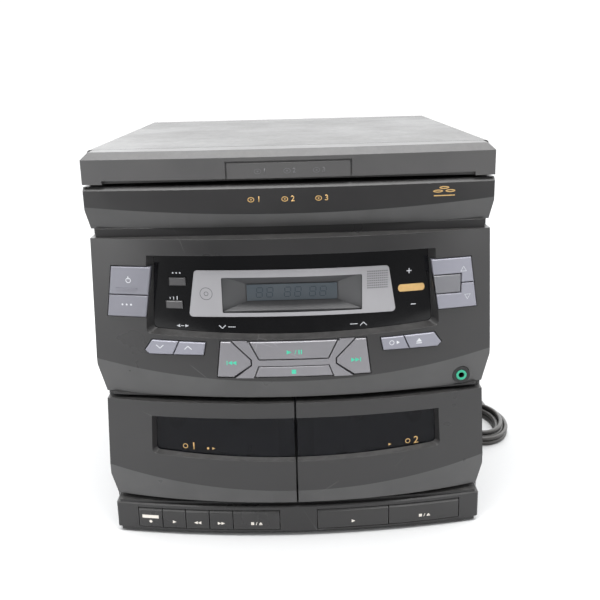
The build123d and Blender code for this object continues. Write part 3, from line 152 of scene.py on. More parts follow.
for step in range(len(turns) * TURN_POINTS - 2):
    share = step / TURN_POINTS
    lower = min(int(share), len(turns) - 1)
    upper = min(lower + 1, len(turns) - 1)
    blend = max(0.0, (share - lower - 0.7) / 0.3)
    a, b, z = (turns[lower][i] + (turns[upper][i] - turns[lower][i]) * blend for i in range(3))
    angle = START + 2 * math.pi * share
    route.append((COIL[0] + a * math.sin(angle), COIL[1] + b * math.cos(angle), z))
route += [
    (0.1530, BACK - 0.092, 0.0080), (0.1525, BACK - 0.062, LEAD_Z), (0.1565, BACK - 0.024, LEAD_Z),
    (0.1525, BACK + 0.014, LEAD_Z), (0.1305, BACK + 0.040, LEAD_Z), (0.1000, BACK + 0.044, LEAD_Z),
    (0.0860, BACK + 0.044, 0.0030), (0.0700, BACK + 0.044, 0.0070), (0.0520, BACK + 0.044, 0.0070)]
lead_curve = bpy.data.curves.new("mains_lead", "CURVE")
lead_curve.dimensions = "3D"
lead_curve.bevel_depth = 1.0         # times each point's radius
lead_curve.bevel_resolution = 4
lead_curve.resolution_u = 6
spline = lead_curve.splines.new("NURBS")
spline.points.add(len(route) - 1)
for point, place in zip(spline.points, route):
    point.co = (*place, 1)
    point.radius = LEAD_R
spline.order_u = 3
spline.use_endpoint_u = True
lead = bpy.data.objects.new("mains_lead", lead_curve)
scene.collection.objects.link(lead)
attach(lead, "cabinet")
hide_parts("mains_cord", "cord_coil", "cord_tail")

# ==== shared surface effects ====
# Moulded plastic and painted steel have a fine texture, patches from handling, hairline scratches,
# dust on what faces up, a painted sheen that shows lower lips paler in place of the sheen that the
# light doesn't give them, and rubbed, slightly rounded edges. Each is a group that finishes share.
def put(tree, kind, values=None, **settings):
    """A node of a tree, with its settings, and its sockets given a value or another node's output."""
    made = tree.nodes.new(kind)
    for key, value in settings.items():
        setattr(made, key, value)
    for key, value in (values or {}).items():
        if isinstance(value, bpy.types.NodeSocket):
            tree.links.new(value, made.inputs[key])
        else:
            made.inputs[key].default_value = value
    return made


def effect(name, numbers, outputs):
    """An empty group that takes coordinates and named numbers, with its two end nodes."""
    tree = bpy.data.node_groups.new(name, "ShaderNodeTree")
    tree.interface.new_socket(name="Vector", in_out="INPUT", socket_type="NodeSocketVector")
    for number in numbers:
        tree.interface.new_socket(name=number, in_out="INPUT", socket_type="NodeSocketFloat")
    for output, kind in outputs:
        tree.interface.new_socket(name=output, in_out="OUTPUT", socket_type=kind)
    start = tree.nodes.new("NodeGroupInput")
    end = tree.nodes.new("NodeGroupOutput")
    return tree, start.outputs, end.inputs


def ramp(tree, value, low, high, to_low=0.0, to_high=1.0):
    """The output of a node that maps a range onto another."""
    return put(tree, "ShaderNodeMapRange", {
        "Value": value, "From Min": low, "From Max": high, "To Min": to_low, "To Max": to_high}).outputs["Result"]


def times(tree, first, second):
    """The product of two values."""
    return put(tree, "ShaderNodeMath", {0: first, 1: second}, operation="MULTIPLY").outputs[0]


grain_effect, start, end = effect(
    "moulding_grain", ["Fineness"], [("Height", "NodeSocketFloat")])
noise = put(grain_effect, "ShaderNodeTexNoise", {
    "Vector": start["Vector"], "Scale": start["Fineness"], "Detail": 2.0, "Roughness": 0.6})
grain_effect.links.new(noise.outputs["Fac"], end["Height"])

handling_effect, start, end = effect(
    "handling_marks", ["Patch Scale", "Scratching"],
    [("Patches", "NodeSocketFloat"), ("Scratches", "NodeSocketFloat")])
noise = put(handling_effect, "ShaderNodeTexNoise", {
    "Vector": start["Vector"], "Scale": start["Patch Scale"], "Detail": 4.0, "Roughness": 0.6})
handling_effect.links.new(ramp(handling_effect, noise.outputs["Fac"], 0.35, 0.65), end["Patches"])
cells = put(handling_effect, "ShaderNodeTexVoronoi", {
    "Vector": start["Vector"], "Scale": 13.0, "Randomness": 1.0}, feature="DISTANCE_TO_EDGE")
spots = put(handling_effect, "ShaderNodeTexNoise", {
    "Vector": start["Vector"], "Scale": 24.0, "Detail": 1.0})
lines = times(handling_effect, ramp(handling_effect, cells.outputs["Distance"], 0.0, 0.004, 1.0, 0.0),
              ramp(handling_effect, spots.outputs["Fac"], 0.64, 0.70))
handling_effect.links.new(times(handling_effect, lines, start["Scratching"]), end["Scratches"])

dust_effect, start, end = effect("settled_dust", ["Amount"], [("Mask", "NodeSocketFloat")])
facing = put(dust_effect, "ShaderNodeNewGeometry")
upward = put(dust_effect, "ShaderNodeSeparateXYZ", {0: facing.outputs["Normal"]})
noise = put(dust_effect, "ShaderNodeTexNoise", {
    "Vector": start["Vector"], "Scale": 170.0, "Detail": 6.0, "Roughness": 0.75})
mask = times(dust_effect, ramp(dust_effect, upward.outputs["Z"], 0.25, 0.95),
             ramp(dust_effect, noise.outputs["Fac"], 0.4, 0.7, 0.35, 1.0))
dust_effect.links.new(times(dust_effect, mask, start["Amount"]), end["Mask"])

# Painted sheen: faces turned downwards are mixed towards a paler colour, standing in for the sheen the lamps don't give
# them.
lip_sheen_effect, start, end = effect("painted_lip_sheen", ["Amount"], [("Mask", "NodeSocketFloat")])
facing = put(lip_sheen_effect, "ShaderNodeNewGeometry")
upward = put(lip_sheen_effect, "ShaderNodeSeparateXYZ", {0: facing.outputs["Normal"]})
noise = put(lip_sheen_effect, "ShaderNodeTexNoise", {"Vector": start["Vector"], "Scale": 35.0, "Detail": 5.0})
mask = times(lip_sheen_effect, ramp(lip_sheen_effect, upward.outputs["Z"], -0.08, -0.30),
             ramp(lip_sheen_effect, noise.outputs["Fac"], 0.35, 0.65, 0.75, 1.0))
lip_sheen_effect.links.new(times(lip_sheen_effect, mask, start["Amount"]), end["Mask"])

edge_effect, start, end = effect(
    "rubbed_edges", ["Radius", "Amount"], [("Mask", "NodeSocketFloat"), ("Normal", "NodeSocketVector")])
rounded = put(edge_effect, "ShaderNodeBevel", {"Radius": start["Radius"]}, samples=4)
facing = put(edge_effect, "ShaderNodeNewGeometry")
turned = put(edge_effect, "ShaderNodeVectorMath", {
    0: rounded.outputs["Normal"], 1: facing.outputs["Normal"]}, operation="DOT_PRODUCT")
noise = put(edge_effect, "ShaderNodeTexNoise", {"Vector": start["Vector"], "Scale": 60.0, "Detail": 3.0})
mask = times(edge_effect, ramp(edge_effect, turned.outputs["Value"], 0.995, 0.85),
             ramp(edge_effect, noise.outputs["Fac"], 0.42, 0.62))
edge_effect.links.new(times(edge_effect, mask, start["Amount"]), end["Mask"])
edge_effect.links.new(rounded.outputs["Normal"], end["Normal"])


def finish(name, colour, patch, roughness, fineness=1500.0, depth=0.004, patch_scale=16.0, scratching=0.0,
           dust=0.0, wear=0.0, worn_and_sheen=(0.3, 0.3, 0.3), lip_sheen=0.0, radius=0.35, metallic=0.0, coat=0.0,
           transmission=0.0):
    """A finish with grain of a depth and edges of a radius in millimetres, and its shared effects."""
    material = bpy.data.materials.new(name)
    material.use_nodes = True
    tree = material.node_tree
    shader = tree.nodes["Principled BSDF"]
    shader.inputs["Metallic"].default_value = metallic
    shader.inputs["Transmission Weight"].default_value = transmission
    if coat:
        shader.inputs["Coat Weight"].default_value = coat
        shader.inputs["Coat Roughness"].default_value = 0.05
    place = put(tree, "ShaderNodeTexCoord").outputs["Object"]

    def shared(group, **values):
        made = put(tree, "ShaderNodeGroup", node_tree=group)
        tree.links.new(place, made.inputs["Vector"])
        for key, value in values.items():
            made.inputs[key.replace("_", " ")].default_value = value
        return made.outputs

    grain = shared(grain_effect, Fineness=fineness)
    marks = shared(handling_effect, Patch_Scale=patch_scale, Scratching=scratching)
    edges = shared(edge_effect, Radius=radius * MM, Amount=wear)
    settled = shared(dust_effect, Amount=dust)
    lip_sheen_mask = shared(lip_sheen_effect, Amount=lip_sheen)
    surface = put(tree, "ShaderNodeMix", {0: marks["Patches"], 6: (*colour, 1), 7: (*patch, 1)}, data_type="RGBA")
    # The lower lips take the painted sheen in the same paler colour that scratches and rubbed edges take as wear.
    for mask, over in ((lip_sheen_mask["Mask"], worn_and_sheen), (marks["Scratches"], worn_and_sheen), (edges["Mask"], worn_and_sheen),
                       (settled["Mask"], (0.42, 0.41, 0.39))):
        surface = put(tree, "ShaderNodeMix", {0: mask, 6: surface.outputs[2], 7: (*over, 1)}, data_type="RGBA")
    tree.links.new(surface.outputs[2], shader.inputs["Base Color"])
    tree.links.new(ramp(tree, marks["Patches"], 0.0, 1.0, roughness - 0.04, roughness + 0.05),
                   shader.inputs["Roughness"])
    bump = put(tree, "ShaderNodeBump", {
        "Height": grain["Height"], "Distance": depth * MM, "Strength": 1.0, "Normal": edges["Normal"]})
    tree.links.new(bump.outputs["Normal"], shader.inputs["Normal"])
    return material


def dress(material, *names):
    """Gives CAD nodes their finish."""
    for name in names:
        for place in nodes[name].material_slots:
            place.material = material


# ==== front mouldings ====
# Changer and tuner fascias, cassette doors and key bezel: charcoal ABS in a fine satin texture, with
# hairline scratches, rubbed corners, a little dust on the ledges and a painted sheen that makes the
# lower lips paler. The drawer front is a lighter copy of the same charcoal, its paler colour a painted
# sheen, set to its brightness.
charcoal = finish("charcoal_abs", (0.021, 0.0205, 0.021), (0.025, 0.024, 0.0245), 0.31, scratching=0.30, dust=0.10,
                  wear=0.30, worn_and_sheen=(0.22, 0.22, 0.22), lip_sheen=0.42)
dress(charcoal, "changer_fascia", "tuner_fascia", "tape_door_1", "tape_door_2", "key_bezel")
# Painted sheen: the drawer front's charcoal, made lighter to stand in for the sheen on it.
drawer_sheen_charcoal = finish("drawer_painted_sheen_abs", (0.074, 0.073, 0.074), (0.084, 0.082, 0.082), 0.42, scratching=0.35,
                         dust=0.12, wear=0.30, worn_and_sheen=(0.30, 0.30, 0.30))
dress(drawer_sheen_charcoal, "drawer_front")

# ==== cover, rear panel and chassis ====
# Folded steel sheet: the cover in charcoal texture paint, the rear panel in flat dark grey, the
# chassis in black, on four rubber feet.
cover_paint = finish("cover_texture_paint", (0.030, 0.029, 0.030), (0.034, 0.033, 0.033), 0.42, fineness=1100.0,
                     depth=0.010, scratching=0.25, dust=0.20, wear=0.35, worn_and_sheen=(0.24, 0.24, 0.24))
dress(cover_paint, "top_cover")
rear_paint = finish("rear_flat_paint", (0.030, 0.030, 0.032), (0.038, 0.037, 0.038), 0.55, fineness=900.0,
                    depth=0.008, dust=0.3, wear=0.25)
dress(rear_paint, "rear_panel")
chassis_paint = finish("chassis_black_paint", (0.020, 0.020, 0.021), (0.030, 0.029, 0.029), 0.48, dust=0.25, wear=0.2)
dress(chassis_paint, "bottom_chassis")
rubber = finish("foot_rubber", (0.018, 0.018, 0.018), (0.035, 0.034, 0.032), 0.78, fineness=2600.0, dust=0.3)
dress(rubber, "feet")

# ==== display ====
# A bowed smoked-acrylic window, glossy black, with a satin silver plate around the readout and two
# small keys standing through it.
smoked = finish("smoked_acrylic", (0.0035, 0.0035, 0.0042), (0.0050, 0.0048, 0.0055), 0.07, depth=0.0004,
                scratching=0.25, dust=0.0, worn_and_sheen=(0.16, 0.16, 0.16), radius=0.2)
smoked.node_tree.nodes["Principled BSDF"].inputs["Specular IOR Level"].default_value = 0.3
dress(smoked, "display_window")
plate_print = finish("plate_silver_print", (0.335, 0.33, 0.345), (0.365, 0.36, 0.375), 0.42, fineness=2600.0,
                     depth=0.002, radius=0.15, metallic=0.15)
dress(plate_print, "display_plate")
readout_housing = finish("readout_housing", (0.075, 0.076, 0.080), (0.088, 0.088, 0.092), 0.38, dust=0.08, radius=0.1)
dress(readout_housing, "lcd_panel")
small_keys = finish("small_key_black", (0.060, 0.058, 0.060), (0.080, 0.078, 0.080), 0.30, wear=0.5,
                    worn_and_sheen=(0.35, 0.35, 0.36), radius=0.4)
dress(small_keys, "memory_button", "band_button")

# ==== buttons ====
# ABS caps sprayed with violet-grey metallic paint, the transport keys a shade darker, and the fixed
# trim between the transport keys. The power and function keys have the same paint, given a darker
# colour as painted shade.
button_paint = finish("button_metallic_paint", (0.250, 0.250, 0.290), (0.275, 0.275, 0.320), 0.34, fineness=2400.0,
                      depth=0.003, scratching=0.2, wear=0.35, worn_and_sheen=(0.50, 0.50, 0.54), metallic=0.25)
dress(button_paint, "volume_up_button", "volume_down_button", "tuning_up_button",
      "tuning_down_button", "disc_skip_button", "open_close_button")
# Painted shade: the button paint made darker for the power and function keys.
power_shaded_paint = finish("power_painted_shade_paint", (0.180, 0.180, 0.208), (0.200, 0.200, 0.230), 0.34, fineness=2400.0,
                     depth=0.003, scratching=0.2, wear=0.35, worn_and_sheen=(0.50, 0.50, 0.54), metallic=0.25)
dress(power_shaded_paint, "power_button", "function_button")
transport_paint = finish("transport_metallic_paint", (0.215, 0.210, 0.225), (0.240, 0.235, 0.250), 0.33,
                         fineness=2400.0, depth=0.003, scratching=0.25, wear=0.4, worn_and_sheen=(0.50, 0.50, 0.52),
                         metallic=0.25)
dress(transport_paint, "skip_back_button", "skip_forward_button", "play_button", "stop_button", "transport_trim")
bass_cap = finish("bass_cap_gloss", (0.16, 0.16, 0.175), (0.18, 0.18, 0.195), 0.22, wear=0.35, worn_and_sheen=(0.45, 0.45, 0.47),
                  coat=0.4)
dress(bass_cap, "bass_button")

# ==== cassette keys ====
# Piano keys in black ABS, polished by fingers on their faces and edges.
key_black = finish("cassette_key_black", (0.025, 0.0245, 0.025), (0.031, 0.030, 0.030), 0.30, wear=0.45, dust=0.08,
                   worn_and_sheen=(0.25, 0.25, 0.25), radius=0.5)
dress(key_black, "record_key", "play_key_1", "rewind_key", "fast_forward_key", "stop_eject_key_1", "play_key_2",
      "stop_eject_key_2")

# ==== cassette section ====
# Windows in smoked acrylic, a black frame with the wells, a steel mechanism plate and black acetal
# reel spindles.
door_smoke = finish("door_smoked_acrylic", (0.040, 0.042, 0.060), (0.046, 0.048, 0.066), 0.06, depth=0.0004,
                    scratching=0.3, worn_and_sheen=(0.2, 0.2, 0.2), radius=0.2, transmission=0.92)
door_smoke.node_tree.nodes["Principled BSDF"].inputs["IOR"].default_value = 1.24
dress(door_smoke, "door_window_1", "door_window_2")
well_black = finish("well_black_abs", (0.013, 0.013, 0.014), (0.020, 0.019, 0.019), 0.50, dust=0.2)
dress(well_black, "deck_frame", "phones_jack", "disc_clamp", "speaker_terminals")
zinc_steel = finish("zinc_plated_steel", (0.46, 0.46, 0.44), (0.56, 0.55, 0.51), 0.34, fineness=500.0, depth=0.004,
                    dust=0.1, metallic=1.0)
dress(zinc_steel, "changer_deck", "clamp_bridge", "deck_plate")
reel_black = finish("reel_black_acetal", (0.016, 0.016, 0.017), (0.022, 0.022, 0.022), 0.34, dust=0.1, radius=0.2)
dress(reel_black, "reel_takeup_1", "reel_supply_1", "reel_supply_2", "reel_takeup_2", "disc_spindle")

# ==== changer ====
# Tray and carousel in dark grey ABS, a white acetal pinion, and the pick-up's die-cast sled.
tray_grey = finish("tray_grey_abs", (0.030, 0.030, 0.032), (0.037, 0.036, 0.038), 0.46, dust=0.15, wear=0.15)
dress(tray_grey, "drawer_tray")
carousel_grey = finish("carousel_grey_abs", (0.042, 0.042, 0.045), (0.052, 0.051, 0.054), 0.42, dust=0.15, wear=0.2,
                       scratching=0.4)
dress(carousel_grey, "carousel")
acetal = finish("white_acetal", (0.72, 0.71, 0.65), (0.66, 0.64, 0.57), 0.32, radius=0.15)
dress(acetal, "loading_gear")
cast = finish("sled_cast_metal", (0.20, 0.20, 0.21), (0.26, 0.26, 0.27), 0.45, fineness=700.0, depth=0.02,
              metallic=0.9)
dress(cast, "pickup_sled")

# ==== transformer ====
# A stack of varnished steel laminations with a taped winding through it, bolted to the chassis.
laminated = bpy.data.materials.new("varnished_laminations")
laminated.use_nodes = True
tree = laminated.node_tree
shader = tree.nodes["Principled BSDF"]
shader.inputs["Metallic"].default_value = 0.6
shader.inputs["Roughness"].default_value = 0.5
place = put(tree, "ShaderNodeTexCoord").outputs["Object"]
sheets = put(tree, "ShaderNodeTexWave", {"Vector": place, "Scale": 300.0, "Distortion": 0.4}, bands_direction="Y")
layers = put(tree, "ShaderNodeMix", {0: sheets.outputs["Fac"], 6: (0.05, 0.035, 0.025, 1), 7: (0.20, 0.16, 0.13, 1)},
             data_type="RGBA")
tree.links.new(layers.outputs[2], shader.inputs["Base Color"])
bump = put(tree, "ShaderNodeBump", {"Height": sheets.outputs["Fac"], "Distance": 0.0001})
tree.links.new(bump.outputs["Normal"], shader.inputs["Normal"])
dress(laminated, "transformer")

# ==== lead sheath ====
# Soft dark grey PVC on the lead, its strain relief and the plug moulded onto its end.
pvc = finish("lead_soft_pvc", (0.030, 0.028, 0.027), (0.045, 0.042, 0.040), 0.36, fineness=1200.0, depth=0.004,
             dust=0.2, radius=0.2)
dress(pvc, "strain_relief")
lead.data.materials.append(pvc)

# ==== mains plug ====
# A two-blade plug moulded in one with a ribbed neck on the lead's end: a body with rounded corners
# that narrows to the neck, finger ribs on both faces and two nickel-plated blades.
def block(bm, middle, size, rounding, segments=2):
    """Adds a box with rounded edges."""
    made = bmesh.ops.create_cube(bm, size=1.0, matrix=Matrix.Translation(middle) @ Matrix.Diagonal((*size, 1)))
    edges = list({edge for vert in made["verts"] for edge in vert.link_edges})
    bmesh.ops.bevel(bm, geom=edges, offset=rounding, segments=segments, profile=0.5, affect="EDGES", material=-1)


def add_piece(name, bm, body, material):
    """Makes a piece that rides on a body from its finished bmesh."""
    mesh = bpy.data.meshes.new(name)
    bm.to_mesh(mesh)
    bm.free()
    mesh.materials.append(material)
    piece = bpy.data.objects.new(name, mesh)
    scene.collection.objects.link(piece)
    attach(piece, body)
    return piece


PLUG = (0.052, BACK + 0.044, 0.007)     # where the neck meets the body, on the body's middle
PLUG_SIZE = (0.026, 0.020, 0.0138)
PLUG_RIBS = 4
RIB_STEP = 0.0032
BLADE_GAP = 0.00635                     # half the distance between the blades
NECK_L = 0.018
NECK_RIBS = 6
bm = bmesh.new()
bmesh.ops.create_cube(bm, size=1.0, matrix=Matrix.Translation((PLUG[0] - PLUG_SIZE[0] / 2, PLUG[1], PLUG[2]))
                      @ Matrix.Diagonal((*PLUG_SIZE, 1)))
near = [vert for vert in bm.verts if vert.co.x > PLUG[0] - 0.001]
bmesh.ops.scale(bm, vec=(1, 0.72, 0.8), verts=near, space=Matrix.Translation((-PLUG[0], -PLUG[1], -PLUG[2])))
bmesh.ops.bevel(bm, geom=bm.edges[:], offset=0.0032, segments=4, profile=0.5, affect="EDGES", material=-1)
for step in range(PLUG_RIBS):
    for side in (-1, 1):
        block(bm, (PLUG[0] - 0.009 - RIB_STEP * step, PLUG[1], PLUG[2] + side * 0.0062),
              (0.0014, 0.0105, 0.0013), 0.0004)
profile = [bm.verts.new((PLUG[0] - 0.002, PLUG[1], PLUG[2] + 0.0046))]
for rib in range(NECK_RIBS):
    along = PLUG[0] + NECK_L * rib / NECK_RIBS
    radius = 0.0046 - 0.0018 * rib / NECK_RIBS
    for step, drop in ((0.1, 0.0), (0.65, 0.0), (0.72, 0.0007), (0.98, 0.0007)):
        profile.append(bm.verts.new((along + NECK_L * step / NECK_RIBS, PLUG[1], PLUG[2] + radius - drop)))
profile.append(bm.verts.new((PLUG[0] + NECK_L, PLUG[1], PLUG[2] + LEAD_R * 0.9)))
chain = [bm.edges.new(pair) for pair in zip(profile, profile[1:])]
bmesh.ops.spin(bm, geom=profile + chain, cent=PLUG, axis=(1, 0, 0), angle=2 * math.pi, steps=28, use_merge=True)
bmesh.ops.remove_doubles(bm, verts=bm.verts[:], dist=1e-6)
bmesh.ops.recalc_face_normals(bm, faces=bm.faces[:])
for face in bm.faces:
    face.smooth = True
plug_body = add_piece("plug_body", bm, "cabinet", pvc)

bm = bmesh.new()
for side in (-1, 1):
    block(bm, (PLUG[0] - 0.0345, PLUG[1] + side * BLADE_GAP, PLUG[2]), (0.017, 0.0015, 0.0064), 0.0005)
nickel = finish("nickel_plate", (0.62, 0.60, 0.55), (0.68, 0.66, 0.60), 0.22, fineness=400.0, depth=0.002,
                scratching=0.6, worn_and_sheen=(0.8, 0.75, 0.6), metallic=1.0, radius=0.2)
plug_blades = add_piece("plug_blades", bm, "cabinet", nickel)
for piece in (plug_body, plug_blades):
    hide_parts("mains_plug")

# ==== screws ====
# Cross-recessed pan heads in black zinc: three along each lower edge of the cover and eight around
# the rear panel. The head is drawn in millimetres.
CROSS = 0.36               # half the width of the recess's slots
CROWN_Z = 0.94             # what stands higher than this is the crown's flat
bm = bmesh.new()
bmesh.ops.create_cone(bm, cap_ends=True, segments=24, radius1=3.0, radius2=2.3, depth=1.4)
crown = max(bm.faces, key=lambda face: face.calc_center_median().z)
bmesh.ops.inset_region(bm, faces=[crown], thickness=0.6, depth=0.25)
for axis in ((1, 0, 0), (0, 1, 0)):
    for side in (-CROSS, CROSS):
        flat = [face for face in bm.faces if face.calc_center_median().z > CROWN_Z]
        around = list({edge for face in flat for edge in face.edges} | {vert for face in flat for vert in face.verts})
        bmesh.ops.bisect_plane(bm, geom=flat + around, dist=1e-5, plane_co=[side * part for part in axis],
                               plane_no=axis)
slots = [face for face in bm.faces if face.calc_center_median().z > CROWN_Z
         and min(abs(face.calc_center_median().x), abs(face.calc_center_median().y)) < CROSS]
sunk = bmesh.ops.extrude_face_region(bm, geom=slots)
bmesh.ops.translate(bm, vec=(0, 0, -0.8), verts=[item for item in sunk["geom"] if isinstance(item, bmesh.types.BMVert)])
bmesh.ops.delete(bm, geom=[face for face in slots if face.is_valid], context="FACES_ONLY")
bmesh.ops.recalc_face_normals(bm, faces=bm.faces[:])
bmesh.ops.scale(bm, vec=(MM, MM, MM), verts=bm.verts)
head_mesh = bpy.data.meshes.new("screw_head")
bm.to_mesh(head_mesh)
bm.free()
HALF_W = 0.135
seats = [(side * HALF_W, y, 0.0095, side * 90, 0) for side in (-1, 1) for y in (-0.105, 0.020, 0.140)]
seats += [(x, BACK, z, 0, -90) for x in (-0.127, 0.127) for z in (0.012, 0.120, 0.262)]
seats += [(0.0, BACK, z, 0, -90) for z in (0.012, 0.266)]
bm = bmesh.new()
for x, y, z, about_y, about_x in seats:
    placed = head_mesh.copy()
    placed.transform(Matrix.Translation((x, y, z)) @ Matrix.Rotation(math.radians(about_y), 4, "Y")
                     @ Matrix.Rotation(math.radians(about_x), 4, "X")
                     @ Matrix.Translation((0, 0, 0.0005)) @ Matrix.Rotation(37 * x + 11 * z, 4, "Z"))
    bm.from_mesh(placed)
    bpy.data.meshes.remove(placed)
black_zinc = finish("black_zinc_screw", (0.06, 0.06, 0.065), (0.10, 0.10, 0.11), 0.34, fineness=600.0, metallic=0.9,
                    wear=0.6, worn_and_sheen=(0.4, 0.4, 0.4), radius=0.15)
add_piece("cover_screws", bm, "cabinet", black_zinc)

# ==== speaker terminals ====
# Spring terminals for two loudspeakers: a red and a black push tab for each, with finger ridges,
# over a wire hole with a collar in the same colour.
TERMINAL_X = -0.095
TERMINAL_STEP = 0.014
TAB_Z = 0.065
HOLE_Z = 0.053
COLLAR_R = 0.0026
for colour_name, tint, patch, columns in (
        ("red", (0.42, 0.020, 0.018), (0.36, 0.018, 0.016), (0, 2)),
        ("black", (0.014, 0.014, 0.015), (0.022, 0.022, 0.022), (1, 3))):
    tab_finish = finish("terminal_" + colour_name, tint, patch, 0.35, dust=0.15, wear=0.2)
    bm = bmesh.new()
    for column in columns:
        x = TERMINAL_X + TERMINAL_STEP * (column - 1.5)
        block(bm, (x, BACK + 0.0034, TAB_Z), (0.0092, 0.0068, 0.0102), 0.0011, segments=3)
        for step in (-1, 0, 1):
            block(bm, (x, BACK + 0.0069, TAB_Z + 0.0022 * step), (0.0064, 0.0009, 0.0008), 0.0003)
        hole = Vector((x, BACK + 0.0004, HOLE_Z))
        rim = bmesh.ops.create_circle(bm, segments=10, radius=0.0006, matrix=Matrix.Translation(
            hole + Vector((COLLAR_R, 0, 0))))["verts"]
        loop = list({edge for vert in rim for edge in vert.link_edges})
        bmesh.ops.spin(bm, geom=rim + loop, cent=hole, axis=(0, 1, 0), angle=2 * math.pi, steps=24, use_merge=True)
    bmesh.ops.remove_doubles(bm, verts=bm.verts[:], dist=1e-6)
    bmesh.ops.recalc_face_normals(bm, faces=bm.faces[:])
    add_piece("terminal_tabs_" + colour_name, bm, "cabinet", tab_finish)

# ==== headphone socket ring ====
# A green ring pressed in around the socket's hole.
SOCKET = Vector((0.1163, FRONT - 0.0045, 0.1172))
RING_R = 0.0028
bm = bmesh.new()
rim = bmesh.ops.create_circle(bm, segments=16, radius=0.00085, matrix=Matrix.Translation(
    SOCKET + Vector((RING_R, 0, 0))))["verts"]
loop = list({edge for vert in rim for edge in vert.link_edges})
bmesh.ops.spin(bm, geom=rim + loop, cent=SOCKET, axis=(0, 1, 0), angle=2 * math.pi, steps=48, use_merge=True)
bmesh.ops.remove_doubles(bm, verts=bm.verts[:], dist=1e-6)
bmesh.ops.scale(bm, vec=(1, 0.6, 1), verts=bm.verts, space=Matrix.Translation(-SOCKET))
bmesh.ops.recalc_face_normals(bm, faces=bm.faces[:])
for face in bm.faces:
    face.smooth = True
green_plastic = finish("socket_green_plastic", (0.030, 0.42, 0.25), (0.028, 0.36, 0.21), 0.32)
add_piece("socket_ring", bm, "cabinet", green_plastic)

# ==== readout glass ====
# The liquid-crystal cell at the back of its funnel: a grey-blue glass with its segments off, which
# show as a slightly darker pattern of digits.
READOUT_Z = 0.1804
bm = bmesh.new()
block(bm, (0, FRONT - 0.0031, READOUT_Z), (0.0612, 0.0011, 0.0114), 0.0002)
cell_finish = finish("readout_cell", (0.085, 0.105, 0.125), (0.10, 0.118, 0.135), 0.16, fineness=300.0, depth=0.0005,
                     patch_scale=40.0, radius=0.1, coat=0.6)
add_piece("readout_glass", bm, "cabinet", cell_finish)


# ==== printed marks: numbers and symbols ====
# Screen-printed in thin ink, laid on the bowed faces. A mark is drawn flat in millimetres as the
# viewer sees it, then follows the face and gets the ink's thickness.
DIGIT_SHARE = 0.7          # a digit's height as a share of its type size


def mark(bm, kind, x, z, width, height, turn=0.0, stroke=0.5):
    """Adds one number or symbol, centred at x and z."""
    upright = Matrix.Translation((x, 0, z)) @ Matrix.Rotation(math.radians(turn), 4, "Y") @ Matrix.Rotation(
        math.radians(90), 4, "X")
    place = upright @ Matrix.Diagonal((width, height, 1, 1))
    if kind.isdigit():
        letter = bpy.data.curves.new("number", "FONT")
        letter.body = kind
        letter.size = height / DIGIT_SHARE
        letter.align_x = "CENTER"
        letter.align_y = "CENTER"
        letter.offset = 0.02 * height
        holder = bpy.data.objects.new("number", letter)
        flat = bpy.data.meshes.new_from_object(holder)
        flat.transform(upright)
        bm.from_mesh(flat)
        bpy.data.objects.remove(holder)
        bpy.data.meshes.remove(flat)
        return
    if kind == "bar":
        bmesh.ops.create_grid(bm, x_segments=max(1, round(width / 3)), y_segments=1, size=0.5, matrix=place)
        return
    if kind.startswith("triangle"):
        place = place @ Matrix.Translation((0, -1 / 6, 0)) @ Matrix.Diagonal((1 / math.sqrt(3), 2 / 3, 1, 1))
        made = bmesh.ops.create_circle(bm, cap_ends=True, segments=3, radius=1.0, matrix=place)
    else:
        made = bmesh.ops.create_circle(bm, cap_ends=True, segments=28, radius=0.5, matrix=place)
    if kind in ("ring", "triangle_line"):
        inner = made["verts"][0].link_faces[0]
        bmesh.ops.inset_region(bm, faces=[inner], thickness=stroke, use_boundary=True)
        bmesh.ops.delete(bm, geom=[inner], context="FACES_ONLY")


def chevron(bm, x, z, width, height, up, stroke=0.5):
    """Adds an open arrow head of two strokes."""
    length = math.hypot(width / 2, height)
    lean = math.degrees(math.atan2(height, width / 2))
    for side in (-1, 1):
        mark(bm, "bar", x + side * width / 4, z, length, stroke, turn=side * lean * (1 if up else -1))


def ink(name, colour, roughness=0.45, metallic=0.0):
    """The finish of a printed ink: a slightly uneven film."""
    lighter = tuple(min(1.0, part * 1.12) for part in colour)
    return finish(name, colour, lighter, roughness, fineness=3500.0, depth=0.001, patch_scale=400.0, radius=0.05,
                  metallic=metallic)


INK_PROUD = 0.05
INK_THICK = 0.15


def print_on(name, bm, body, face, material, proud=INK_PROUD, thick=INK_THICK):
    """Lays the marks on a bowed face, given as its half width, bow and how far it is grown."""
    half, bow, grow = face
    radius = ((half + grow) ** 2 + bow ** 2) / (2 * bow)
    bmesh.ops.solidify(bm, geom=bm.faces[:], thickness=thick)
    nearest = min(vert.co.y for vert in bm.verts)
    for vert in bm.verts:
        bowed = FRONT / MM - bow - grow + radius - math.sqrt(radius ** 2 - vert.co.x ** 2)
        vert.co.y += bowed - nearest - proud
    finish_print(name, bm, body, material)


def finish_print(name, bm, body, material):
    """Makes the piece from marks that are in place, in millimetres."""
    bmesh.ops.recalc_face_normals(bm, faces=bm.faces[:])
    bmesh.ops.scale(bm, vec=(MM, MM, MM), verts=bm.verts)
    add_piece(name, bm, body, material)


# Each bowed face's half width, bow and how far it is grown beyond the mould line.
CHANGER_FACE = (135.4, 8.0, 0.0)
DISPLAY_FACE = (137.6, 20.0, -6.3)
PLATE_FACE = (137.6, 20.0, -5.2)
BUTTON_FACE = (137.6, 20.0, 1.2)
PANE_FACE = (135.6, 20.0, -4.3)
KEY_FACE = (132.6, 14.0, 0.3)
gold_ink = ink("gold_ink", (0.62, 0.40, 0.16), roughness=0.38, metallic=0.35)
white_ink = ink("white_ink", (0.62, 0.63, 0.66))
cream_ink = ink("cream_ink", (0.74, 0.70, 0.64))
green_ink = ink("green_ink", (0.055, 0.52, 0.34))
grey_ink = ink("grey_ink", (0.125, 0.125, 0.13))
dark_ink = ink("dark_ink", (0.075, 0.075, 0.082))

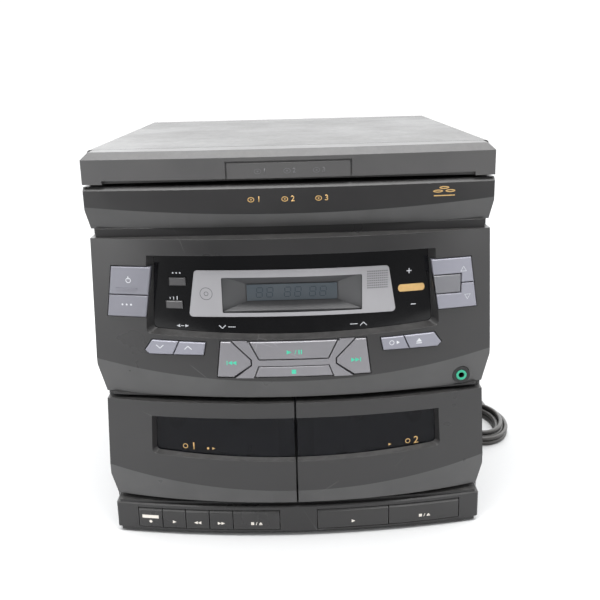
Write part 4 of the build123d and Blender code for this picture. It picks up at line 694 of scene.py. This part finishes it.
# ==== marks on the drawer and the changer fascia ====
# Three disc symbols with their numbers in dim grey on the drawer; in gold on the fascia, the same
# in a row, and a stack of three discs over a line at the right end.
bm = bmesh.new()
for number, x in (("1", -20.0), ("2", -1.0), ("3", 18.0)):
    mark(bm, "ring", x, 262.3, 4.6, 3.4, stroke=0.35)
    mark(bm, "disc", x, 262.3, 1.3, 1.0)
    mark(bm, number, x + 4.6, 262.3, 0, 3.1)
print_on("drawer_disc_marks", bm, "drawer", CHANGER_FACE, grey_ink)
bm = bmesh.new()
for number, x in (("1", -25.0), ("2", -3.0), ("3", 19.0)):
    mark(bm, "ring", x, 244.1, 4.4, 3.4, stroke=0.55)
    mark(bm, "disc", x, 244.1, 1.2, 0.9)
    mark(bm, number, x + 5.2, 244.1, 0, 3.6)
for x, z in ((101.5, 248.2), (97.4, 246.0), (105.6, 246.0)):
    mark(bm, "ring", x, z, 6.6, 1.9, stroke=0.62)
mark(bm, "bar", 101.6, 243.0, 14.0, 0.7)
print_on("fascia_disc_marks", bm, "cabinet", CHANGER_FACE, gold_ink)

# ==== marks on the display ====
# White arrows and signs on the smoked window, a gold bar beside the bass key, dots over the remote
# sensor and a disc symbol on the plate.
bm = bmesh.new()
chevron(bm, -47.5, 159.2, 4.6, 2.3, up=False)
chevron(bm, 47.6, 158.8, 4.6, 2.3, up=True)
mark(bm, "bar", -41.0, 159.2, 5.0, 0.45)
mark(bm, "bar", 41.0, 159.0, 5.0, 0.45)
for side in (-1, 1):
    mark(bm, "triangle", -74.6 + side * 3.0, 159.6, 2.0, 2.4, turn=90 * side)
mark(bm, "bar", -74.6, 159.6, 2.2, 0.4)
for step in (-1, 0, 1):
    mark(bm, "disc", -76.7 + 2.4 * step, 196.4, 1.1, 1.1)
    mark(bm, "bar", -79.6 + 2.4 * step, 178.9, 0.5, 1.4 + 0.7 * (step + 1))
mark(bm, "bar", 78.6, 193.6, 3.4, 0.6)
mark(bm, "bar", 78.6, 193.6, 0.6, 3.4)
mark(bm, "bar", 81.8, 170.2, 3.4, 0.6)
print_on("display_white_marks", bm, "cabinet", DISPLAY_FACE, white_ink)
bm = bmesh.new()
mark(bm, "bar", 80.3, 182.0, 15.0, 5.0)
for side in (-1, 1):
    mark(bm, "disc", 80.3 + side * 7.5, 182.0, 3.2, 5.0)
print_on("display_gold_bar", bm, "cabinet", DISPLAY_FACE, gold_ink)
bm = bmesh.new()
for column in range(10):
    for row in range(8):
        mark(bm, "bar", 50.6 + 1.42 * column, 183.9 + 1.6 * row, 0.8, 0.85)
mark(bm, "ring", -57.2, 182.6, 8.6, 8.6, stroke=0.35)
mark(bm, "ring", -57.2, 182.6, 3.0, 3.0, stroke=0.35)
print_on("plate_dark_marks", bm, "cabinet", PLATE_FACE, dark_ink)

# ==== readout segments ====
# Two groups of digits, each of seven slanted bars, etched in the cell and barely darker than it.
LEVEL_BAR = (3.2, 0.55)
UPRIGHT_BAR = (0.55, 2.6)
SLANT = 0.12
CELL_FACE = 3.67           # how far the cell's front stands before the front line
bm = bmesh.new()
for x in (-22.0, -15.0, -3.0, 4.0, 14.0, 21.0):
    for dx, dz, bar in (
            (0, 3.3, LEVEL_BAR), (0, 0, LEVEL_BAR), (0, -3.3, LEVEL_BAR), (-2, 1.65, UPRIGHT_BAR),
            (2, 1.65, UPRIGHT_BAR), (-2, -1.65, UPRIGHT_BAR), (2, -1.65, UPRIGHT_BAR)):
        mark(bm, "bar", x + dx + SLANT * dz, READOUT_Z / MM + dz, *bar)
bmesh.ops.solidify(bm, geom=bm.faces[:], thickness=0.1)
bmesh.ops.translate(bm, vec=(0, FRONT / MM - CELL_FACE - min(vert.co.y for vert in bm.verts), 0), verts=bm.verts)
segment_ink = ink("readout_segment", (0.050, 0.064, 0.078), roughness=0.16)
finish_print("readout_segments", bm, "cabinet", segment_ink)

# ==== marks on the buttons ====
# White arrows on the tuning and volume keys, a disc and an eject sign at the right, green transport
# signs, and a raised bar to feel for on the power key.
for body, x, z, up in (("tuning_down_button", -90.2, 147.0, False), ("tuning_up_button", -70.9, 146.6, True)):
    bm = bmesh.new()
    chevron(bm, x, z, 5.0, 2.3, up=up, stroke=0.55)
    print_on(body + "_mark", bm, body, BUTTON_FACE, white_ink)
for body, x, z, turn in (("volume_up_button", 114.9, 194.3, 0), ("volume_down_button", 118.2, 174.6, 180)):
    bm = bmesh.new()
    mark(bm, "triangle_line", x, z, 4.4, 3.7, turn=turn, stroke=0.5)
    print_on(body + "_mark", bm, body, BUTTON_FACE, white_ink)
bm = bmesh.new()
mark(bm, "ring", 66.2, 146.5, 3.4, 3.4, stroke=0.45)
mark(bm, "triangle", 70.6, 146.5, 2.4, 2.2, turn=90)
print_on("disc_skip_button_mark", bm, "disc_skip_button", BUTTON_FACE, white_ink)
bm = bmesh.new()
mark(bm, "triangle", 85.0, 147.1, 4.0, 2.6)
mark(bm, "bar", 85.0, 144.9, 4.0, 0.7)
print_on("open_close_button_mark", bm, "open_close_button", BUTTON_FACE, white_ink)
bm = bmesh.new()
mark(bm, "ring", -108.6, 192.7, 3.6, 3.6, stroke=0.45)
mark(bm, "bar", -108.6, 194.4, 0.5, 2.2)
print_on("power_button_mark", bm, "power_button", BUTTON_FACE, white_ink)
bm = bmesh.new()
for step in (-1, 0, 1):
    mark(bm, "disc", -111.0 + 3.0 * step, 175.9, 1.3, 1.3)
print_on("function_button_mark", bm, "function_button", BUTTON_FACE, white_ink)
bm = bmesh.new()
mark(bm, "bar", -110.2, 186.9, 14.5, 0.8)
print_on("power_button_bar", bm, "power_button", BUTTON_FACE, power_shaded_paint, proud=0.5, thick=0.8)
for side, body in ((-1, "skip_back_button"), (1, "skip_forward_button")):
    bm = bmesh.new()
    for step in (-1.3, 1.5):
        mark(bm, "triangle", side * (41.3 + step), 136.2, 3.0, 2.9, turn=90 * side)
    mark(bm, "bar", side * 44.9, 136.2, 0.6, 3.0)
    print_on(body + "_mark", bm, body, BUTTON_FACE, green_ink)
bm = bmesh.new()
mark(bm, "triangle", -3.0, 143.3, 3.0, 3.4, turn=90)
mark(bm, "bar", 1.2, 143.3, 0.4, 3.2, turn=18)
for x in (3.6, 5.2):
    mark(bm, "bar", x, 143.3, 0.8, 3.0)
print_on("play_button_mark", bm, "play_button", BUTTON_FACE, green_ink)
bm = bmesh.new()
mark(bm, "bar", -0.1, 129.4, 3.0, 3.0)
print_on("stop_button_mark", bm, "stop_button", BUTTON_FACE, green_ink)

# ==== marks on the cassette keys and windows ====
# Cream signs on the keys, with a pale bar over the record dot, and gold deck numbers in the windows
# with a small record or play sign beside them.
RECORD, STOP = "record", "stop"
keys = {
    "record_key": (RECORD, -107.6, 10.2), "play_key_1": (1, -89.8, 10.6), "rewind_key": (-2, -72.9, 10.6),
    "fast_forward_key": (2, -55.6, 10.6), "stop_eject_key_1": (STOP, -30.1, 10.6), "play_key_2": (1, 39.8, 10.4),
    "stop_eject_key_2": (STOP, 91.8, 10.4)}
for body, (sign, x, z) in keys.items():
    bm = bmesh.new()
    if sign == RECORD:
        mark(bm, "disc", x, z - 0.2, 2.2, 2.2)
        mark(bm, "bar", x, z + 3.7, 12.2, 2.5)
    elif sign == STOP:
        mark(bm, "bar", x - 2.9, z, 2.2, 2.2)
        mark(bm, "bar", x, z, 0.4, 2.6, turn=20)
        mark(bm, "triangle", x + 3.0, z + 0.35, 2.5, 1.6)
        mark(bm, "bar", x + 3.0, z - 0.9, 2.5, 0.45)
    else:
        for step in range(abs(sign)):
            mark(bm, "triangle", x + 2.6 * (step - (abs(sign) - 1) / 2), z, 2.4, 2.7, turn=math.copysign(90, sign))
    print_on(body + "_mark", bm, body, KEY_FACE, cream_ink)
for body, number, x, z, sign_x in (("door_1", "1", -72.1, 71.2, -58.0), ("door_2", "2", 84.9, 70.2, 66.0)):
    bm = bmesh.new()
    mark(bm, number, x, z, 0, 5.2)
    mark(bm, "ring", x - 6.0, z, 3.6, 3.6, stroke=0.45)
    mark(bm, "triangle", sign_x, z - 1.2, 1.8, 2.0, turn=90)
    if number == "1":
        mark(bm, "disc", sign_x - 4.0, z - 1.2, 1.7, 1.7)
    print_on("tape_window_mark_" + number, bm, body, PANE_FACE, gold_ink)

# ==== numbers on the carousel ====
# Raised numbers beside the three disc seats, each read from outside the carousel.
CAROUSEL_CENTRE = (0.0, 7.1, 265.0)
NUMBER_R = 100.0           # from the carousel's centre to a number's
NUMBER_PROUD = 0.15
bm = bmesh.new()
for number, angle in (("1", 270), ("2", 30), ("3", 150)):
    one = bmesh.new()
    mark(one, number, 0, 0, 0, 8.0)
    mark(one, "ring", 0, 0, 14.0, 14.0, stroke=0.6)
    bmesh.ops.transform(one, verts=one.verts, matrix=Matrix.Translation(CAROUSEL_CENTRE) @ Matrix.Rotation(
        math.radians(angle + 90), 4, "Z") @ Matrix.Translation((0, -NUMBER_R, 0)) @ Matrix.Rotation(
        math.radians(-90), 4, "X"))
    flat = bpy.data.meshes.new("number")
    one.to_mesh(flat)
    one.free()
    bm.from_mesh(flat)
    bpy.data.meshes.remove(flat)
bmesh.ops.solidify(bm, geom=bm.faces[:], thickness=0.3)
rise = CAROUSEL_CENTRE[2] + NUMBER_PROUD - max(vert.co.z for vert in bm.verts)
bmesh.ops.translate(bm, vec=(0, 0, rise), verts=bm.verts)
finish_print("carousel_numbers", bm, "carousel", cream_ink)
